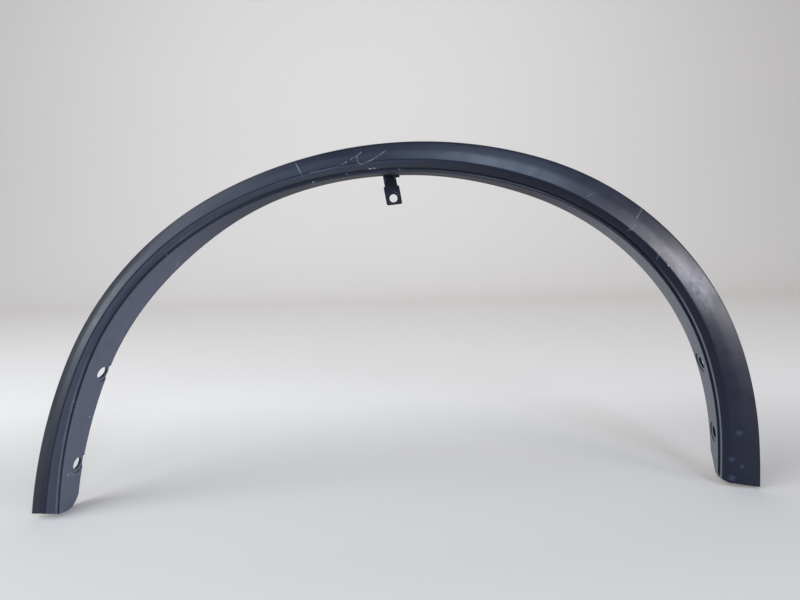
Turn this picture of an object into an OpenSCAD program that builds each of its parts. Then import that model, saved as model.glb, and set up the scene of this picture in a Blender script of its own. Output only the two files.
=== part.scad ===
// Wheel arch moulding: one injection-moulded strip that frames a wheel opening.
// +X runs along the arch, +Z is up, and the visible face looks along -Y.
// The outer edge is a chain of tangent arcs. A section of constant form but
// changing width and turn is lofted along it, then trimmed, drilled and ribbed.

/* [Outer edge] */
// Angle of the left leg above the horizontal at its foot, in degrees
leg_heading = 81.2; // [79:0.1:84]
// Radius of the left leg
left_leg_r = 615; // [450:1:900]
// Radius of the left shoulder
left_shoulder_r = 372; // [330:1:420]
// Radius of the crown
crown_r = 466; // [420:1:520]
// Radius of the right shoulder
right_shoulder_r = 354; // [320:1:400]
// Radius of the right leg
right_leg_r = 440; // [380:1:700]
// Radius of the right foot
right_foot_r = 760; // [500:1:1200]

/* [Face width, edge to ridge] */
// Face width at the left foot
face_left_foot = 19; // [14:0.5:30]
// Face width half way up the left leg
face_left_leg = 16.5; // [13:0.5:30]
// Face width at the left shoulder
face_left_shoulder = 16; // [12:0.5:30]
// Face width at the crown
face_crown = 20.5; // [14:0.5:32]
// Face width at the right shoulder
face_right_shoulder = 28; // [18:0.5:38]
// Face width half way up the right leg
face_right_leg = 32.5; // [22:0.5:42]
// Face width at the right foot
face_right_foot = 37; // [26:0.5:46]

/* [Roll-over width, ridge to flange] */
// Roll-over width at the left foot
roll_left_foot = 8.5; // [6:0.5:12]
// Roll-over width half way up the left leg
roll_left_leg = 6.5; // [6:0.5:12]
// Roll-over width at the left shoulder
roll_left_shoulder = 8; // [7:0.5:12]
// Roll-over width at the crown
roll_crown = 10.5; // [8:0.5:14]
// Roll-over width at the right shoulder
roll_right_shoulder = 9; // [8:0.5:13]
// Roll-over width half way up the right leg
roll_right_leg = 8.5; // [7:0.5:13]
// Roll-over width at the right foot
roll_right_foot = 8.5; // [7:0.5:13]

/* [Section turn about the outer edge] */
// Turn at the left foot, in degrees
turn_left_foot = -4.5; // [-10:0.5:6]
// Turn on the lower left leg, in degrees
turn_left_low = -15.5; // [-20:0.5:2]
// Turn on the upper left leg, in degrees
turn_left_high = -18.5; // [-20:0.5:2]
// Turn at the left shoulder, in degrees
turn_left_shoulder = -4; // [-12:0.5:4]
// Turn at the crown, in degrees
turn_crown = -0.5; // [-5:0.5:5]
// Turn at the right shoulder, in degrees
turn_right_shoulder = -2; // [-6:0.5:6]
// Turn on the upper right leg, in degrees
turn_right_high = 1.5; // [-4:0.5:10]
// Turn on the lower right leg, in degrees
turn_right_low = 10.5; // [0:0.5:16]
// Turn at the right foot, in degrees
turn_right_foot = 20.5; // [5:0.5:24]

/* [Section] */
// Wall thickness
wall = 2.8; // [2.4:0.1:3.4]
// Angle of the face to the plane of the arch, in degrees
face_angle = 12; // [6:0.5:18]
// Height of the crown of the face above its chord
face_bulge = 0.7; // [0.2:0.1:1.4]
// Depth of the lip turned back at the outer edge
lip_depth = 7; // [5:0.5:10]
// Depth gained over each millimetre of roll-over
roll_slope = 1.15; // [0.9:0.05:1.3]
// Depth of the flange behind the roll-over
flange_depth = 38; // [34:0.5:42]
// Width of the shadow groove at the left foot
groove_left = 2.6; // [2:0.1:3.2]
// Width of the shadow groove at the crown
groove_crown = 4.6; // [3:0.1:5.5]
// Width of the shadow groove at the right foot
groove_right = 3.4; // [2:0.1:5]

/* [Feet] */
// Angle at which the end of the left face runs down to the back, in degrees
left_face_end = 26.7; // [10:0.1:30]
// Angle at which the end of the left flange runs down to the back, in degrees
left_flange_end = 13; // [0:0.5:18]
// Angle at which the left end rises inward, in degrees
left_end_rise = 7.4; // [0:0.1:10]
// Radius at the rear lower corner of the left flange
left_corner_r = 22; // [10:0.5:30]
// Angle at which the right end runs down to the back, in degrees
right_face_end = 22; // [10:0.5:26]
// Angle at which the right end rises inward, in degrees
right_end_rise = 4.9; // [0:0.1:8]
// Angle of the cut across the flange at the right foot, in degrees
right_cut_angle = 40; // [28:1:42]
// Radius at the inner lower corner of the right foot
right_corner_r = 14; // [6:0.5:16]

/* [Screw seats] */
// Diameter of the screw holes
screw_hole_d = 13.6; // [9:0.2:15]
// Diameter of the round seats
seat_d = 23; // [20:0.5:25]
// Depth of the round seats below the flange
seat_sink = 1.3; // [0.8:0.1:1.6]
// Thickness of the pad behind each seat
seat_pad = 1.4; // [0.8:0.1:2.4]

/* [Top tab] */
// Width of the tab's plate
tab_w = 17.4; // [15:0.1:22]
// Height of the tab's plate
tab_h = 21.2; // [18:0.1:24]
// Width of the tab's neck
neck_w = 14; // [10:0.5:15]
// Length of the tab's neck
neck_h = 11.5; // [8:0.5:14]
// Thickness of the tab
tab_t = 2.4; // [2:0.1:3]
// Diameter of the hole in the tab
tab_hole_d = 9; // [7:0.5:11]
// Lean of the tab to the right, in degrees
tab_lean = 10; // [0:0.5:12]
// Skew of the ends of the tab's plate, in degrees
tab_skew = 4; // [0:0.5:8]

/* [Hidden side] */
// Thickness of the gussets between face and flange
rib_t = 1.8; // [1.4:0.1:2.2]
// Thickness of the blades that spring clips are pushed on to
clip_t = 2.2; // [1.8:0.1:2.6]
// Length of a clip blade along the arch
clip_l = 18; // [14:0.5:22]
// Height of a clip blade above the back of the face
clip_h = 9; // [7:0.5:10]

/* [Hidden] */
deg = 180 / PI;

arc_r = [left_leg_r, left_shoulder_r, crown_r, right_shoulder_r, right_leg_r, right_foot_r];
arc_turn = [16.2, 39.2, 42, 54.2, 13, 4.35];
arc_len = [for (i = [0:len(arc_r) - 1]) arc_r[i] * arc_turn[i] / deg];

face_w = [face_left_foot, face_left_leg, face_left_shoulder, face_crown,
          face_right_shoulder, face_right_leg, face_right_foot];
roll_w = [roll_left_foot, roll_left_leg, roll_left_shoulder, roll_crown,
          roll_right_shoulder, roll_right_leg, roll_right_foot];
turn = [turn_left_foot, turn_left_low, turn_left_high, turn_left_shoulder, turn_crown,
        turn_right_shoulder, turn_right_high, turn_right_low, turn_right_foot];
groove_w = [groove_left, groove_crown, groove_right];
ridge_soft = [2.6, 4, 8];

function sum_to(v, n) = n <= 0 ? 0 : v[n - 1] + sum_to(v, n - 1);
function heading(n) = leg_heading - sum_to(arc_turn, n);

// Step along an arc of radius r that starts at heading h and turns right by a.
function arc_step(r, h, a) = [r * (sin(h) - sin(h - a)), r * (cos(h - a) - cos(h))];
function knot(n) = n <= 0 ? [0, 0] : knot(n - 1) + arc_step(arc_r[n - 1], heading(n - 1), arc_turn[n - 1]);
function arc_at(d, n = 0) =
    (n >= len(arc_r) - 1 || d < sum_to(arc_len, n + 1)) ? n : arc_at(d, n + 1);

path_len = sum_to(arc_len, len(arc_r));

// Point and heading on the outer edge at the share s of its length.
function edge(s) =
    let (d = s * path_len, n = arc_at(d), a = (d - sum_to(arc_len, n)) / arc_r[n] * deg)
    [knot(n) + arc_step(arc_r[n], heading(n), a), heading(n) - a];

// Smooth value at the share s of the length through evenly spaced values v.
function blend(v, s) =
    let (n = len(v) - 1,
         x = min(max(s, 0), 1) * n,
         i = min(floor(x), n - 1),
         q = x - i,
         p1 = v[i],
         p2 = v[i + 1],
         p0 = i == 0 ? 2 * p1 - p2 : v[i - 1],
         p3 = i == n - 1 ? 2 * p2 - p1 : v[i + 2])
    0.5 * (2 * p1 + (p2 - p0) * q + (2 * p0 - 5 * p1 + 4 * p2 - p3) * q * q
           + (3 * p1 - p0 - 3 * p2 + p3) * q * q * q);

function turned(p, a) = [p[0] * cos(a) - p[1] * sin(a), p[0] * sin(a) + p[1] * cos(a)];
function unit(v) = v / norm(v);

// Rounds the corner at p over the length cut on both sides, with n points.
function rounded(before, p, after, cut, n) =
    let (c = min(cut, 0.45 * norm(p - before), 0.45 * norm(after - p)),
         a = p + c * unit(before - p),
         b = p + c * unit(after - p))
    [for (k = [0:n - 1]) let (q = k / (n - 1)) (1 - q) * (1 - q) * a + 2 * q * (1 - q) * p + q * q * b];

// Polyline v moved sideways by t, with mitred corners.
function side(a, b) = let (d = unit(b - a)) [-d[1], d[0]];
function moved(v, t) =
    [for (i = [0:len(v) - 1])
        let (n0 = side(v[max(i - 1, 0)], v[max(i, 1)]),
             last = len(v) - 1,
             n1 = side(v[min(i, last - 1)], v[min(i + 1, last)]))
        v[i] + t * (n0 + n1) / (1 + n0 * n1)];

// Rounded polyline: corner i of v is rounded over cuts[i] with counts[i] points.
function soft_line(v, cuts, counts) =
    [for (i = [0:len(v) - 1])
        each (i == 0 || i == len(v) - 1) ? [v[i]] : rounded(v[i - 1], v[i], v[i + 1], cuts[i], counts[i])];

// Corners of the visible side at share s: lip, outer corner, middle of the face,
// ridge, groove edge, groove bottom, start of the flange, end of the flange.
function corners(s) =
    let (a = blend(face_w, s),
         b = blend(roll_w, s),
         g = blend(groove_w, s),
         t = blend(turn, s),
         rise = -a * tan(face_angle),
         in_v = rise + roll_slope * b)
    [turned([0.8, lip_depth], -t),
     [0, 0],
     [a / 2, rise / 2 - face_bulge],
     [a, rise],
     [a + b - g, rise + roll_slope * (b - g)],
     [a + b - 0.75 * g, in_v + 0.15 * g],
     [a + b, in_v],
     [a + b, in_v + flange_depth]];

// Closed section at share s before it is turned: [inward, depth].
function outline(s) =
    let (c = corners(s),
         r = blend(ridge_soft, s),
         show = soft_line(c, [0, 2.2, 6, r, 0.7, 0.8, 1.3, 0], [0, 4, 3, 5, 2, 3, 3, 0]),
         back_c = moved([c[0], c[1], c[3], c[4], c[5], c[6], c[7]], wall),
         back = soft_line(back_c, [0, 0.8, max(r - wall, 1), 1.5, 1.5, 1.2, 0], [0, 2, 3, 2, 2, 2, 0]),
         n = len(back))
    concat(show, [for (i = [0:n - 1]) back[n - 1 - i]]);
function section(s) = [for (p = outline(s)) turned(p, blend(turn, s))];

// A point given as [inward, depth] at share s, in the frame of the path.
function lifted(p, s) =
    let (e = edge(s), h = e[1])
    [e[0][0] + p[0] * sin(h), p[1], e[0][1] - p[0] * cos(h)];

// Screw seats as [share of the edge, share of the flange's depth].
seats = [[0.04, 0.745], [0.132, 0.77], [0.8765, 0.58], [0.953, 0.52]];
seat_pad_d = 19;
gusset_reach = 17;
gusset_shares = [0.025, 0.08, 0.112, 0.172, 0.235, 0.3, 0.37, 0.44, 0.52, 0.59, 0.66, 0.73, 0.79,
                 0.845, 0.905, 0.97];
clip_shares = [0.1, 0.205, 0.335, 0.48, 0.625, 0.76, 0.885];
tab_share = 0.4785;
tab_joggle = 1.2;
tab_hole_drop = 14;
nub_share = 0.4862;
nub = [2.7, 3, 4.8];

// The strip runs on past both ends of the edge, for the cuts at the feet.
run_on = 7 / path_len;
station_count = 84;
stations = [for (i = [0:station_count]) -run_on + i / station_count * (1 + 2 * run_on)];
rings = [for (s = stations) [for (p = section(s)) lifted(p, s)]];
ring_n = len(rings[0]);

// Start of the diagonal cut on the right flange, from the front of the section.
right_cut_front = 4;

// Ends of the feet past the ends of the edge, at a point p of the section.
left_more = 0.7;
right_more = 1.2;
left_bend = corners(0)[6][1];
function left_end(p) =
    left_more - p[0] * tan(left_end_rise) + min(p[1], left_bend) * tan(left_face_end)
    + max(p[1] - left_bend, 0) * tan(left_flange_end);
function right_end(p) = right_more - p[0] * tan(right_end_rise) + p[1] * tan(right_face_end);

// Points of the rounded corner on the left flange: [depth, distance past the edge's end].
left_corner = [for (a = [0:3:90])
    let (c = corners(0)[7], y = c[1] - left_corner_r * (1 - sin(a)))
    [y, left_end([0, y]) - left_corner_r * (1 - cos(a))]];

// The origin lies below the middle of the strip's box. What the cuts at the
// feet take away doesn't count.
cut_share = 1 - (flange_depth - right_cut_front) * tan(right_cut_angle) / path_len;
kept = [for (i = [0:station_count]) if (stations[i] >= 0 && stations[i] <= 1) i];
all_x = concat([for (i = kept) each [for (p = rings[i]) p[0]]],
               [for (s = [0, 1]) each [for (p = section(s)) lifted(p, s)[0]]]);
kept_y = [for (i = kept) if (stations[i] < cut_share && stations[i] * path_len > left_corner_r)
    each [for (p = rings[i]) p[1]]];

// Height of a point p of the section, moved past the edge's end by more.
function foot_z(p, s, more) =
    lifted(turned(p, blend(turn, s)), s)[2] + (s == 0 ? -1 : 1) * more * sin(edge(s)[1]);
left_front = corners(0)[7][1] - left_corner_r;
left_low = concat([for (p = outline(0)) if (p[1] < left_front) foot_z(p, 0, left_end(p))],
                  [for (q = left_corner) let (p = [corners(0)[6][0] - wall, q[0]])
                      foot_z(p, 0, q[1] - p[0] * tan(left_end_rise))]);
right_front = corners(1)[6][1] + right_cut_front;
right_low = [for (p = outline(1)) if (p[1] < right_front || p[0] < corners(1)[6][0] / 2)
    foot_z(p, 1, right_end(p))];
origin = [(min(all_x) + max(all_x)) / 2, (min(kept_y) + max(kept_y)) / 2,
          min(concat(left_low, right_low))];

// Point of the back that faces each point of the visible side across the wall.
partner = [0, 1, 1, 2, 2, 2, 2, 3, 3, 3, 4, 5, 5, 6, 7, 8, 8, 9, 10, 10, 11, 12];

// Triangles across the wall that close the end of the strip.
end_cap = [for (i = [0:len(partner) - 2])
    let (j = ring_n - 1 - partner[i], k = ring_n - 1 - partner[i + 1])
    each j == k ? [[i, i + 1, j]] : [[i, i + 1, k], [i, k, j]]];

// Lofted skin through all rings, closed at both ends.
module strip() {
    last = len(rings) - 1;
    points = [for (r = rings) each r];
    sides = [for (i = [0:last - 1], k = [0:ring_n - 1])
        let (k2 = (k + 1) % ring_n, a = i * ring_n, b = (i + 1) * ring_n)
        each [[a + k, b + k, b + k2], [a + k, b + k2, a + k2]]];
    end = [for (f = end_cap) last * ring_n * [1, 1, 1] + [f[2], f[1], f[0]]];
    polyhedron(points = points, faces = concat(sides, end_cap, end), convexity = 10);
}

// Frame of the section at share s: X inward, Y back, Z forward along the edge.
module at_share(s) {
    e = edge(s);
    translate([e[0][0], 0, e[0][1]])
        rotate([0, 90 - e[1], 0])
            rotate([0, 0, blend(turn, s)])
                children();
}

// Frame of a screw seat: Z leaves the flange on its visible side.
module at_seat(seat) {
    c = corners(seat[0]);
    p = c[6] + seat[1] * (c[7] - c[6]);
    at_share(seat[0])
        translate([p[0], p[1], 0])
            rotate([0, 90, 0])
                children();
}

module seat_pad_disc() {
    translate([0, 0, -wall - seat_pad])
        cylinder(d = seat_pad_d, h = seat_pad + wall / 2, $fn = 48);
}

module seat_cut() {
    translate([0, 0, -seat_sink])
        cylinder(d = seat_d, h = 8, $fn = 64);
    translate([0, 0, -12])
        cylinder(d = screw_hole_d, h = 20, $fn = 48);
}

// Triangular web in the corner behind face and flange, at share s.
module gusset(s) {
    c = corners(s);
    m = moved([c[1], c[3], c[4], c[5], c[6], c[7]], 0.6 * wall);
    on_face = m[0] + 0.42 * (m[1] - m[0]);
    on_flange = m[4] + gusset_reach / flange_depth * (m[5] - m[4]);
    at_share(s)
        translate([0, 0, -rib_t / 2])
            linear_extrude(height = rib_t)
                polygon([on_face, m[1], m[2], m[3], m[4], on_flange]);
}

// Blade behind the face that a spring clip is pushed on to, at share s, with
// two cross webs as stops and a bead on each flank that holds the clip.
module clip_blade(s) {
    foot = wall - 0.8;
    at_share(s)
        rotate([0, 0, -face_angle])
            translate([0.54 * blend(face_w, s), foot, 0]) {
                rotate([0, -90, 0])
                    linear_extrude(height = clip_t, center = true)
                        polygon([[-clip_l / 2, 0], [clip_l / 2, 0], [clip_l / 2, clip_h - 1.5],
                                 [clip_l / 2 - 2.5, clip_h + 0.8], [2.5 - clip_l / 2, clip_h + 0.8],
                                 [-clip_l / 2, clip_h - 1.5]]);
                for (end = [-1, 1])
                    translate([-3.5, 0, end * clip_l / 3 - rib_t / 2])
                        cube([7, 0.4 * clip_h, rib_t]);
                translate([0, 0.8 * clip_h, 0])
                    cylinder(d = clip_t + 1.2, h = clip_l / 3, center = true, $fn = 12);
            }
}

// Tab bent down from the rear edge of the flange, one piece with it.
module top_tab() {
    c = corners(tab_share);
    p = lifted(turned(c[7], blend(turn, tab_share)), tab_share);
    translate([p[0], p[1], p[2]])
        rotate([0, -tab_lean, 0]) {
            translate([-neck_w / 2, -tab_t, -neck_h - 1])
                cube([neck_w, tab_t, neck_h + 2.5]);
            translate([0, -tab_joggle, -neck_h - tab_h])
                rotate([90, 0, 0])
                    linear_extrude(height = tab_t)
                        multmatrix([[1, 0, 0, 0], [-tan(tab_skew), 1, 0, 0], [0, 0, 1, 0], [0, 0, 0, 1]])
                            round_plate(tab_w, tab_h, 2);
            for (side = [-1, 1])
                translate([side * (neck_w / 2 - rib_t) - rib_t / 2, -tab_t, 1])
                    rotate([0, 90, 0])
                        linear_extrude(height = rib_t)
                            polygon([[0, 1], [7, 1], [7, 0], [2, -4], [0, -4]]);
        }
}

module round_plate(w, h, r) {
    for (side = [-1, 1], level = [r, h - r])
        translate([side * (w / 2 - r), level])
            circle(r = r, $fn = 32);
    translate([-w / 2, r])
        square([w, h - 2 * r]);
    translate([-w / 2 + r, 0])
        square([w - 2 * r, h]);
}

module tab_hole() {
    c = corners(tab_share);
    p = lifted(turned(c[7], blend(turn, tab_share)), tab_share);
    translate([p[0], p[1], p[2]])
        rotate([0, -tab_lean, 0])
            translate([0, 8, -neck_h - tab_hole_drop])
                rotate([90, 0, 0])
                    cylinder(d = tab_hole_d, h = 20, $fn = 48);
}

// Outside of a rounded corner: what is cut off a square corner at the origin
// that opens to +X and +Y.
module corner_waste(r) {
    difference() {
        translate([-6, -6])
            square([r + 6, r + 6]);
        translate([r, r])
            circle(r = r, $fn = 64);
    }
}

// Small stop on the rear edge of the flange beside the tab.
module rear_nub() {
    c = corners(nub_share);
    at_share(nub_share)
        translate([c[7][0] - 0.5, c[7][1] - nub[1], -nub[2] / 2])
            cube(nub);
}

// Moves what is made at the end of a foot to its place: z grows by rise for
// each millimetre inward.
module leaned(rise) {
    multmatrix([[1, 0, 0, 0], [0, 1, 0, 0], [rise, 0, 1, 0], [0, 0, 0, 1]]) children();
}

// Waste below the left foot: face and flange end at two slopes, then comes
// the rounded corner.
module left_foot_trim() {
    front = -30;
    rear = corners(0)[7][1] + 8;
    up = left_corner[len(left_corner) - 1];
    at_share(0)
        leaned(tan(left_end_rise))
            rotate([90, 0, 90])
                translate([0, 0, -20])
                    linear_extrude(height = 80)
                        polygon(concat([[front, -left_end([0, front])], [left_bend, -left_end([0, left_bend])]],
                                       [for (q = left_corner) [q[0], -q[1]]],
                                       [[rear, -up[1]], [rear, -60], [front, -60]]));
}

// Waste below the right foot, at its inner corner and below the diagonal cut.
module right_foot_trim() {
    c = corners(1);
    reach = 90;
    at_share(1) {
        multmatrix([[1, 0, 0, 0], [0, 1, 0, 0],
                    [-tan(right_end_rise), tan(right_face_end), 1, right_more], [0, 0, 0, 1]]) {
            translate([-20, -reach / 2, 0])
                cube([100, reach, 40]);
            translate([c[6][0], reach / 2, 0])
                rotate([90, 0, 0])
                    linear_extrude(height = reach)
                        mirror([1, 1])
                            corner_waste(right_corner_r);
        }
        translate([c[6][0] - 8, c[6][1] + right_cut_front, 0])
            rotate([90, 0, 90])
                linear_extrude(height = 20)
                    polygon([[0, 0], [reach, -reach * tan(right_cut_angle)], [reach, 40], [0, 40]]);
    }
}

module arch_moulding() {
    color("#2f353d")
        translate(-origin)
            difference() {
                union() {
                    strip();
                    for (seat = seats)
                        at_seat(seat) seat_pad_disc();
                    for (s = gusset_shares)
                        gusset(s);
                    for (s = clip_shares)
                        clip_blade(s);
                    top_tab();
                    rear_nub();
                }
                for (seat = seats)
                    at_seat(seat) seat_cut();
                tab_hole();
                left_foot_trim();
                right_foot_trim();
            }
}

arch_moulding();
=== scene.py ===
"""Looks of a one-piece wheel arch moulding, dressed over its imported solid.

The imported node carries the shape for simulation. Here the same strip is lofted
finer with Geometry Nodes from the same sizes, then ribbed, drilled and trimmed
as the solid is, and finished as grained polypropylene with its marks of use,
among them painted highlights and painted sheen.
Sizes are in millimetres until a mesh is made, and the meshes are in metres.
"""

import logging
import math
from dataclasses import dataclass, field
from enum import Enum, IntEnum
from typing import Any, Iterable, Sequence

import bmesh
import bpy
from mathutils import Matrix, Vector


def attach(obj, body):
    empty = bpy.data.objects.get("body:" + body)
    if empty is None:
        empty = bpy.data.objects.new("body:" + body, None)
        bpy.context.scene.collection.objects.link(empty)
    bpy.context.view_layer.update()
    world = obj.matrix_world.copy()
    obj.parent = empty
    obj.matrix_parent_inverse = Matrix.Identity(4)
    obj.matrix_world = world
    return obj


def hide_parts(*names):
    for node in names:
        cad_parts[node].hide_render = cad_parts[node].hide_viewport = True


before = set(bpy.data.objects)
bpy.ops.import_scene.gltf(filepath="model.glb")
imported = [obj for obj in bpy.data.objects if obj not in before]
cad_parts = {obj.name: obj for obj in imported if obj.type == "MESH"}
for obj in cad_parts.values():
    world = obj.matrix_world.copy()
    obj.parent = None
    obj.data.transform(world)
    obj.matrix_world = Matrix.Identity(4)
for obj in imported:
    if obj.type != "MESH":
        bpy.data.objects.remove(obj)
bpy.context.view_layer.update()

MM = 0.001
NODE = "arch_moulding"
BODY = "root"

log = logging.getLogger("arch_moulding")

Flat = tuple[float, float]
Span = tuple[float, float]
Place = tuple[float, float, float]

# Step in millimetres that keeps two surfaces from lying in one plane.
HAIR = 0.01

# The Mix node has sockets of one name for each kind of value, so they are taken
# by number.
COLOUR_A, COLOUR_B, COLOUR_MIXED = 6, 7, 2
NUMBER_A, NUMBER_B, NUMBER_MIXED = 2, 3, 0


class Work(Enum):
    """How one closed shape is worked into another."""

    ADD = "UNION"
    CUT = "DIFFERENCE"


class Corner(IntEnum):
    """Corners of the visible side of the section, from the lip to the rear edge."""

    LIP = 0
    EDGE = 1
    FACE = 2
    RIDGE = 3
    GROOVE_EDGE = 4
    GROOVE_BOTTOM = 5
    FLANGE_START = 6
    FLANGE_END = 7


def add_node(
    tree: bpy.types.NodeTree,
    kind: str,
    settings: dict[str, Any] | None = None,
    inputs: dict[Any, Any] | None = None,
) -> bpy.types.Node:
    """Adds one node with its settings and its inputs.

    Args:
        tree: The node tree that takes the node.
        kind: Blender's type name of the node.
        settings: Properties of the node, by name.
        inputs: Values or output sockets, by the input's name or number.

    Returns:
        The new node.
    """
    node = tree.nodes.new(kind)
    for name, value in (settings or {}).items():
        setattr(node, name, value)
    for key, value in (inputs or {}).items():
        if isinstance(value, bpy.types.NodeSocket):
            tree.links.new(value, node.inputs[key])
        else:
            node.inputs[key].default_value = value
    return node


def folded(
    tree: bpy.types.NodeTree, operation: str, values: Iterable[bpy.types.NodeSocket]
) -> bpy.types.NodeSocket:
    """Works several values into one, each as soon as it is there.

    Args:
        tree: The node tree that takes the nodes.
        operation: Blender's name of the operation on two values.
        values: The sockets with the values.

    Returns:
        The socket with the result.
    """
    result = None
    for value in values:
        if result is None:
            result = value
        else:
            both = {0: result, 1: value}
            result = add_node(tree, "ShaderNodeMath", {"operation": operation}, both).outputs[0]
    return result


def linear_colour(hex_code: str) -> tuple[float, float, float, float]:
    """Turns an sRGB hex code into linear colour with full alpha.

    Args:
        hex_code: A code such as "#1b2030".

    Returns:
        Red, green, blue and alpha, from 0 to 1.
    """
    channels = [int(hex_code[start : start + 2], 16) / 255 for start in (1, 3, 5)]
    dark, slope, offset, power = 0.04045, 12.92, 0.055, 2.4
    linear = [
        value / slope if value <= dark else ((value + offset) / (1 + offset)) ** power
        for value in channels
    ]
    return (*linear, 1.0)


def blend(values: Sequence[float], share: float) -> float:
    """Smooth value through evenly spaced values, as the solid's source has it.

    Args:
        values: Values at equal steps along the arch.
        share: Place along the arch, from 0 to 1.

    Returns:
        The value at that place.
    """
    last = len(values) - 1
    place = min(max(share, 0.0), 1.0) * last
    step = min(int(place), last - 1)
    part = place - step
    start, end = values[step], values[step + 1]
    before = 2 * start - end if step == 0 else values[step - 1]
    after = 2 * end - start if step == last - 1 else values[step + 2]
    square = (2 * before - 5 * start + 4 * end - after) * part * part
    cube = (3 * start - before - 3 * end + after) * part * part * part
    return 0.5 * (2 * start + (end - before) * part + square + cube)


def turned(point: Flat, degrees: float) -> Flat:
    """Turns a point of the section about the outer edge."""
    cosine, sine = math.cos(math.radians(degrees)), math.sin(math.radians(degrees))
    return (point[0] * cosine - point[1] * sine, point[0] * sine + point[1] * cosine)


def between(start: Flat, end: Flat, share: float) -> Flat:
    """Point at a share of the way from start to end."""
    return (start[0] + share * (end[0] - start[0]), start[1] + share * (end[1] - start[1]))


def moved(line: Sequence[Flat], distance: float) -> list[Flat]:
    """Moves an open line sideways, with mitred corners.

    Args:
        line: Points of the line.
        distance: How far it moves to its left.

    Returns:
        The moved points.
    """
    normals = []
    for start, end in zip(line, line[1:]):
        length = math.hypot(end[0] - start[0], end[1] - start[1])
        normals.append((-(end[1] - start[1]) / length, (end[0] - start[0]) / length))
    result = []
    for i, point in enumerate(line):
        before = normals[max(i - 1, 0)]
        after = normals[min(i, len(normals) - 1)]
        mitre = distance / (1 + before[0] * after[0] + before[1] * after[1])
        across, down = before[0] + after[0], before[1] + after[1]
        result.append((point[0] + mitre * across, point[1] + mitre * down))
    return result


@dataclass(frozen=True)
class Arc:
    """One arc of the outer edge.

    Attributes:
        radius: Its radius.
        degrees: The angle that it turns.
    """

    radius: float
    degrees: float

    @property
    def length(self) -> float:
        """Length along the arc."""
        return self.radius * math.radians(self.degrees)


@dataclass(frozen=True)
class OuterEdge:
    """Outer edge of the moulding: a chain of tangent arcs from foot to foot.

    Attributes:
        start_heading: Heading at the narrow foot, in degrees above the horizontal.
        arcs: The arcs, from the narrow foot to the wide one.
        origin: Origin of the row frame, seen from the edge's start.
    """

    start_heading: float = 81.2
    arcs: tuple[Arc, ...] = (
        Arc(615, 16.2),
        Arc(372, 39.2),
        Arc(466, 42),
        Arc(354, 54.2),
        Arc(440, 13),
        Arc(760, 4.35),
    )
    origin: Place = (410.101, 21.955, -8.678)

    @property
    def length(self) -> float:
        """Length of the whole edge."""
        return sum(arc.length for arc in self.arcs)

    def at(self, share: float) -> tuple[float, float, float]:
        """Place and heading on the edge.

        Args:
            share: Share of the edge's length, from the narrow foot.

        Returns:
            X, Z and the heading in degrees.
        """
        remaining, heading = share * self.length, self.start_heading
        x = z = 0.0
        for i, arc in enumerate(self.arcs):
            run = remaining if i == len(self.arcs) - 1 else min(remaining, arc.length)
            end = heading - math.degrees(run / arc.radius)
            x += arc.radius * (math.sin(math.radians(heading)) - math.sin(math.radians(end)))
            z += arc.radius * (math.cos(math.radians(end)) - math.cos(math.radians(heading)))
            heading, remaining = end, remaining - run
            if remaining <= 0:
                break
        return x, z, heading


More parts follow.
